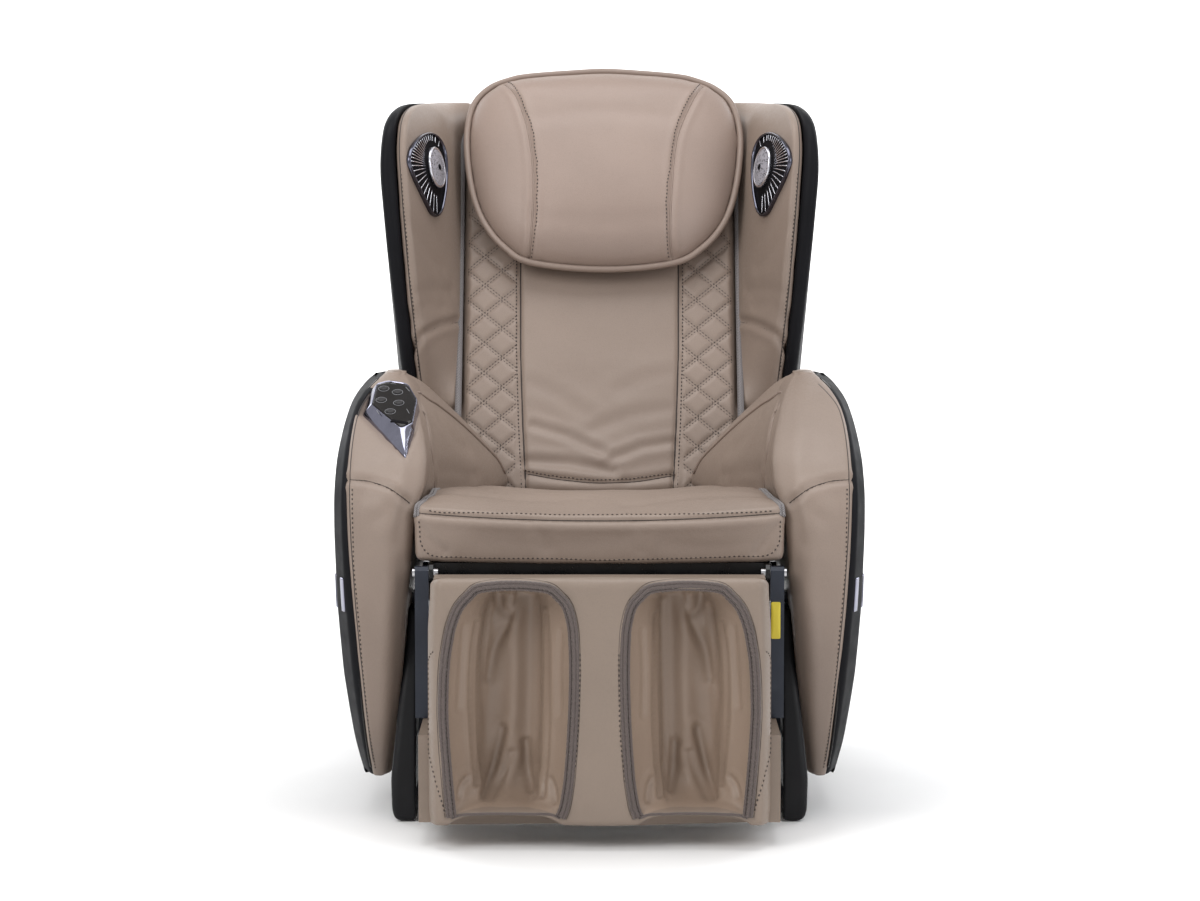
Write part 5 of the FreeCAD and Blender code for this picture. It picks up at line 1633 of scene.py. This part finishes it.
            # ribbed cord: the radius beats along its length
            rr = r + 0.42 * np.sin(np.arange(len(p3)) * 2.0 * math.pi / 3.2)
            V, F = tube_vf(W(p3), rr / 1000.0, 9)
            make(f"calf_piping_{sd}_{k}", V, F, M_PIPE, "calf_rest")
        p3 = np.stack([s * foot[:, 0], np.full(len(foot), -178.0), foot[:, 1] - 1.5], -1)
        H, N = drop(t, W(p3 - np.array([0, 60.0, 0])), fwd)
        if len(H) > 6:
            V, F = tube_vf(H + N * 0.0005, 0.0019, 8)
            make(f"calf_foot_piping_{sd}", V, F, M_PIPE, "calf_rest")
        P3 = lambda c: W(np.stack([s * c[:, 0], np.full(len(c), -240.0), c[:, 1]], -1))
        P = loop + nn * 8.5
        P = P[(P[:, 1] > 40) & (P[:, 0] < 226)]
        seam("calf_outline_" + sd, o, P3(P), fwd, "calf_rest", r=0.0008, stitch=())
        zz = np.linspace(52, 268, 90)
        seam("calf_row_outer_" + sd, o, P3(np.stack([c_out(zz) + 12.0, zz], -1)), fwd, "calf_rest", r=0.0,
             stitch=(0.0,), pitch=0.0068)
        seam("calf_row_inner_" + sd, o, P3(np.stack([c_inn(zz) - 9.5, zz], -1)), fwd, "calf_rest", r=0.0,
             stitch=(0.0,), pitch=0.0068)
    folds = [([(0.60, 300), (0.62, 240), (0.60, 150), (0.56, 80)], 0.0040, 0.0030),
             ([(0.46, 318), (0.45, 250), (0.47, 160), (0.50, 70)], 0.0034, 0.0030),
             ([(-0.58, 310), (-0.60, 240), (-0.62, 150), (-0.60, 66)], 0.0040, 0.0030),
             ([(-0.46, 322), (-0.44, 250), (-0.45, 150), (-0.50, 64)], 0.0034, 0.0030),
             ([(0.44, 62), (0.30, 92), (0.18, 126), (0.12, 150)], 0.0050, 0.0050),
             ([(0.30, 60), (0.10, 90), (-0.02, 118)], 0.0034, 0.0050),
             ([(-0.40, 70), (-0.30, 96), (-0.26, 132)], 0.0040, 0.0050),
             ([(-0.10, 338), (0.06, 300), (0.26, 262), (0.34, 220)], 0.0042, 0.0060),
             ([(0.36, 336), (0.22, 316), (0.10, 306)], 0.0030, 0.0050),
             ([(0.86, 70), (0.80, 84), (0.70, 92)], 0.0034, 0.0038),
             ([(-0.84, 64), (-0.78, 80), (-0.70, 90)], 0.0034, 0.0038),
             ([(0.80, 296), (0.76, 250), (0.78, 190)], 0.0020, 0.0045),
             ([(-0.80, 290), (-0.77, 240), (-0.80, 180)], 0.0020, 0.0045)]
    for s in (-1, 1):
        for k, (c, dp, wd) in enumerate(folds):
            c = cr_open(np.array(c, float), 60)
            x = (c_out(c[:, 1]) + c_inn(c[:, 1])) / 2 + (c[:, 0] * (1 if s < 0 else 0.94) + (0.0 if s < 0 else 0.02)) \
                * (c_out(c[:, 1]) - c_inn(c[:, 1])) / 2
            H, _ = drop(t, W(np.stack([s * x, np.full(len(c), -240.0), c[:, 1]], -1)), fwd)
            if len(H) > 6:
                crease(o, steady(H, 7), dp, wd, dp * 0.35)
    return o


calf_rest()


def soften(node, width, mat, seg=3, ang=35.0, name=None):
    """A bevelled copy of a hard CAD piece stands for it."""
    src = bpy.data.objects[node]
    body = node_body(node)
    me = src.data.copy()
    me.name = node + "_soft"
    bm = bmesh.new()
    bm.from_mesh(me)
    bmesh.ops.remove_doubles(bm, verts=bm.verts, dist=1e-5)
    bmesh.ops.dissolve_limit(bm, angle_limit=math.radians(1.0), verts=bm.verts, edges=bm.edges)
    bm.to_mesh(me)
    bm.free()
    me.materials.clear()
    me.materials.append(mat)
    o = bpy.data.objects.new(name or node + "_form", me)
    SC.collection.objects.link(o)
    o.matrix_world = src.matrix_world
    b = o.modifiers.new("edge", "BEVEL")
    b.width = width
    b.segments = seg
    b.limit_method = "ANGLE"
    b.angle_limit = math.radians(ang)
    b.harden_normals = False
    b.use_clamp_overlap = True
    me.polygons.foreach_set("use_smooth", [True] * len(me.polygons))
    wn = o.modifiers.new("flat", "WEIGHTED_NORMAL")
    wn.keep_sharp = False
    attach(o, body)
    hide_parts(node)
    return o


def node_body(node):
    o = bpy.data.objects[node]
    for k in ("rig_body", "body"):
        if k in o:
            return o[k]
    while o.parent is not None and "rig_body" not in o:
        o = o.parent
        for b in BODIES:
            if o.name == b or o.name.endswith(b):
                return b
    return "base"


BODIES = ["base", "wheel_left", "wheel_right", "power_switch", "backrest", "head_pillow", "carriage", "kneading_arms",
          "upper_rollers", "lower_rollers", "calf_rest", "recline_drive_tube", "recline_drive_rod",
          "calf_drive_tube", "calf_drive_rod"]


# ------------------------------------------------------------------ feet beside the calf rest
def foot(s):
    side = "left" if s < 0 else "right"
    src = bpy.data.objects["foot_covers"]
    zs = np.concatenate([np.linspace(2, 10, 6)[:-1], np.linspace(10, 280, 70)[:-1], np.linspace(280, 290, 6)])
    xi = S([2, 60, 150, 220, 290], [276.6, 277, 266, 260, 258.5], 8)
    xo = S([2, 12, 60, 150, 220, 290], [283, 288, 289.5, 281, 273, 268], 5)
    f = S([2, 20, 60, 90, 150, 220, 290], [14, 11, 11.5, 18, 34, 54, 74], 6)
    r = S([2, 40, 90, 150, 220, 290], [690, 688, 640, 420, 250, 170], 10)
    R = []
    for z in zs:
        e = max(0.0, (9 - z) / 7.0, (z - 281) / 9.0)
        e = 3.0 * (1 - math.sqrt(max(0.0, 1 - min(1, e) ** 2)))
        fz = f(z) if z > 60 else min(f(z), 12.0)
        P = rpoly([(254.8, fz), (xo(z), fz), (xo(z), r(z)), (xi(z), r(z)), (xi(z), fz + 12), (254.8, fz + 12)],
                  [4, 9, 5, 3, 2, 3], 5, [6, 30, 2, 30, 3, 2])
        if e:
            P = inset(P, e)
        R.append(np.stack([s * P[:, 0], P[:, 1], np.full(len(P), z)], -1))
    V, F = rings(W(np.array(R)))
    make("foot_cover_" + side + "_form", V, F, M_FOOT, "base", rep=("foot_covers",))
    # two moulded ribs
    t = bpy.data.objects["foot_cover_" + side + "_form"]
    tr = tree(t)
    for k, dz in enumerate((0, 9)):
        c = np.stack([np.linspace(60, 560, 60), 30 + dz + np.zeros(60)], -1)
        H, N = drop(tr, W(np.stack([np.full(60, s * 420.0), c[:, 0], c[:, 1]], -1)), (-s, 0, 0))
        if len(H) > 5:
            V, F = tube_vf(H, 0.0009, 6)
            make(f"foot_rib_{side}_{k}", V, F, M_GLOSS, "base")


foot(-1)
foot(1)


# ------------------------------------------------------------------ plain sticker on the right link arm
def sticker():
    R = []
    out = rpoly([(235.6, 261), (248.4, 261), (248.4, 312), (235.6, 312)], [2.2] * 4, 4, 4)
    c = out.mean(0)
    for h, f in ((-15.8, 1.0), (-16.35, 1.0), (-16.5, 0.985), (-16.5, 0.3)):
        q = c + (out - c) * f
        R.append(np.stack([q[:, 0], np.full(len(q), h), q[:, 1]], -1))
    V, F = rings(W(np.array(R)))
    make("sticker_blank", V, F, M_LABEL, "calf_rest")


sticker()


# the calf case takes the darker copy of the taupe leather, painted shade for its side plates
soften("calf_case", 0.0035, M_CALF_SHADED)
soften("seat_front_crossbar", 0.0020, M_BLACKBAR)
soften("calf_link_arms", 0.0016, M_STEEL)
soften("rear_skirt", 0.0020, M_SHELL)
soften("base_tray", 0.0015, M_DRIVE)
soften("control_box", 0.0022, M_DRIVE)
soften("air_pump", 0.0022, M_DRIVE)


# ------------------------------------------------------------------ CAD pieces that stay shown
def dress(slotted):
    for mat, names in slotted:
        for nm in names.split():
            o = bpy.data.objects.get(nm)
            if o is None or o.type != "MESH":
                continue
            o.data.materials.clear()
            o.data.materials.append(mat)


dress([
    (M_STEEL, "base_rails side_posts seat_rails arm_frames back_side_tubes calf_link_arms"),
    (M_BLACKBAR, "base_cross_tubes seat_front_crossbar seat_rear_tube back_top_tube back_bottom_tube"),
    (M_BARE, "calf_pivot_pins recline_pins wheel_axle recline_drive_rod calf_drive_rod"),
    (M_ALU, "guide_rails massage_carriage kneading_arms"),
    (M_WOOD, "seat_pan"),
    (M_RUB, "rubber_feet upper_rollers lower_rollers"),
    (M_WHEEL, "wheels wheel_left wheel_right"),
    (M_DRIVE, "recline_drive_tube calf_drive_tube massage_motor air_pump control_box base_tray"),
    (M_SHELL, "rear_skirt power_inlet power_switch"),
    (M_BAG, "arm_air_bags calf_air_bags"),
    (M_BTN, "button_power button_program button_recline button_upright button_speed"),
])


# ------------------------------------------------------------------ floor, light, camera
def world_and_floor():
    w = bpy.data.worlds.new("studio")
    w.use_nodes = True
    w.node_tree.nodes["Background"].inputs["Color"].default_value = (1, 1, 1, 1)
    w.node_tree.nodes["Background"].inputs["Strength"].default_value = 0.62
    SC.world = w
    s = 12.0
    th = np.linspace(0, math.pi / 2, 24)
    prof = [(-10.0, 0.0)] + [(6.4 + 3.0 * math.sin(a), 3.0 - 3.0 * math.cos(a)) for a in th] + [(9.4, 8.0)]
    V, F = [], []
    for x in (-s, s):
        V += [(x, p[0], p[1]) for p in prof]
    n = len(prof)
    F = [(i, i + 1, n + i + 1, n + i) for i in range(n - 1)]
    me = bpy.data.meshes.new("floor_sweep")
    me.from_pydata(V, [], F)
    me.polygons.foreach_set("use_smooth", [True] * len(me.polygons))
    m = M("floor_pale")
    m.link(m.ramp(m.noise(3.0, 3.0), [(0.3, (0.90, 0.90, 0.90, 1)), (0.7, (0.93, 0.93, 0.93, 1))]),
           m.b.inputs["Base Color"])
    m.b.inputs["Roughness"].default_value = 0.7
    m.bump(m.noise(220.0, 3.0), 0.04, 0.0005)
    me.materials.append(m.done())
    o = bpy.data.objects.new("floor_sweep", me)
    SC.collection.objects.link(o)


def lamp(name, loc, aim, size, power, color=(1, 1, 1), size_y=None):
    d = bpy.data.lights.new(name, "AREA")
    d.energy = power
    d.color = color
    d.shape = "RECTANGLE"
    d.size = size
    d.size_y = size_y or size
    o = bpy.data.objects.new(name, d)
    SC.collection.objects.link(o)
    o.location = loc
    o.rotation_euler = (Vector(aim) - Vector(loc)).to_track_quat("-Z", "Y").to_euler()


world_and_floor()
lamp("key_front_left", (-2.3, -3.0, 2.7), (0, -0.1, 0.55), 1.5, 62, (1.0, 0.985, 0.965), 2.0)
lamp("fill_right", (2.6, -2.6, 1.9), (0, 0, 0.5), 1.8, 34, (0.97, 0.98, 1.0), 2.0)
lamp("top_soft", (0.0, -0.3, 3.2), (0, 0, 0.4), 2.4, 46, (1, 1, 1), 1.8)
lamp("wall_wash", (0.0, 3.6, 5.6), (0, 9.2, 1.6), 6.0, 620, (1, 1, 1), 1.5)
lamp("rim_left", (-2.2, 1.9, 1.9), (-0.2, 0.1, 0.7), 0.8, 22, (0.93, 0.96, 1.0), 1.8)
lamp("rim_right", (2.2, 1.9, 1.9), (0.2, 0.1, 0.7), 0.8, 22, (0.93, 0.96, 1.0), 1.8)

cam_d = bpy.data.cameras.new("photo_view")
cam_d.sensor_width = 36.0
cam_d.sensor_fit = "HORIZONTAL"
cam_d.lens = 109.9
cam_d.clip_start, cam_d.clip_end = 0.05, 60.0
cam = bpy.data.objects.new("photo_view", cam_d)
SC.collection.objects.link(cam)
cam.location = (0.0, -5.376, 1.0)
cam.rotation_euler = (Vector((0.0007, -0.376, 0.5193)) - cam.location).to_track_quat("-Z", "Y").to_euler()
SC.camera = cam
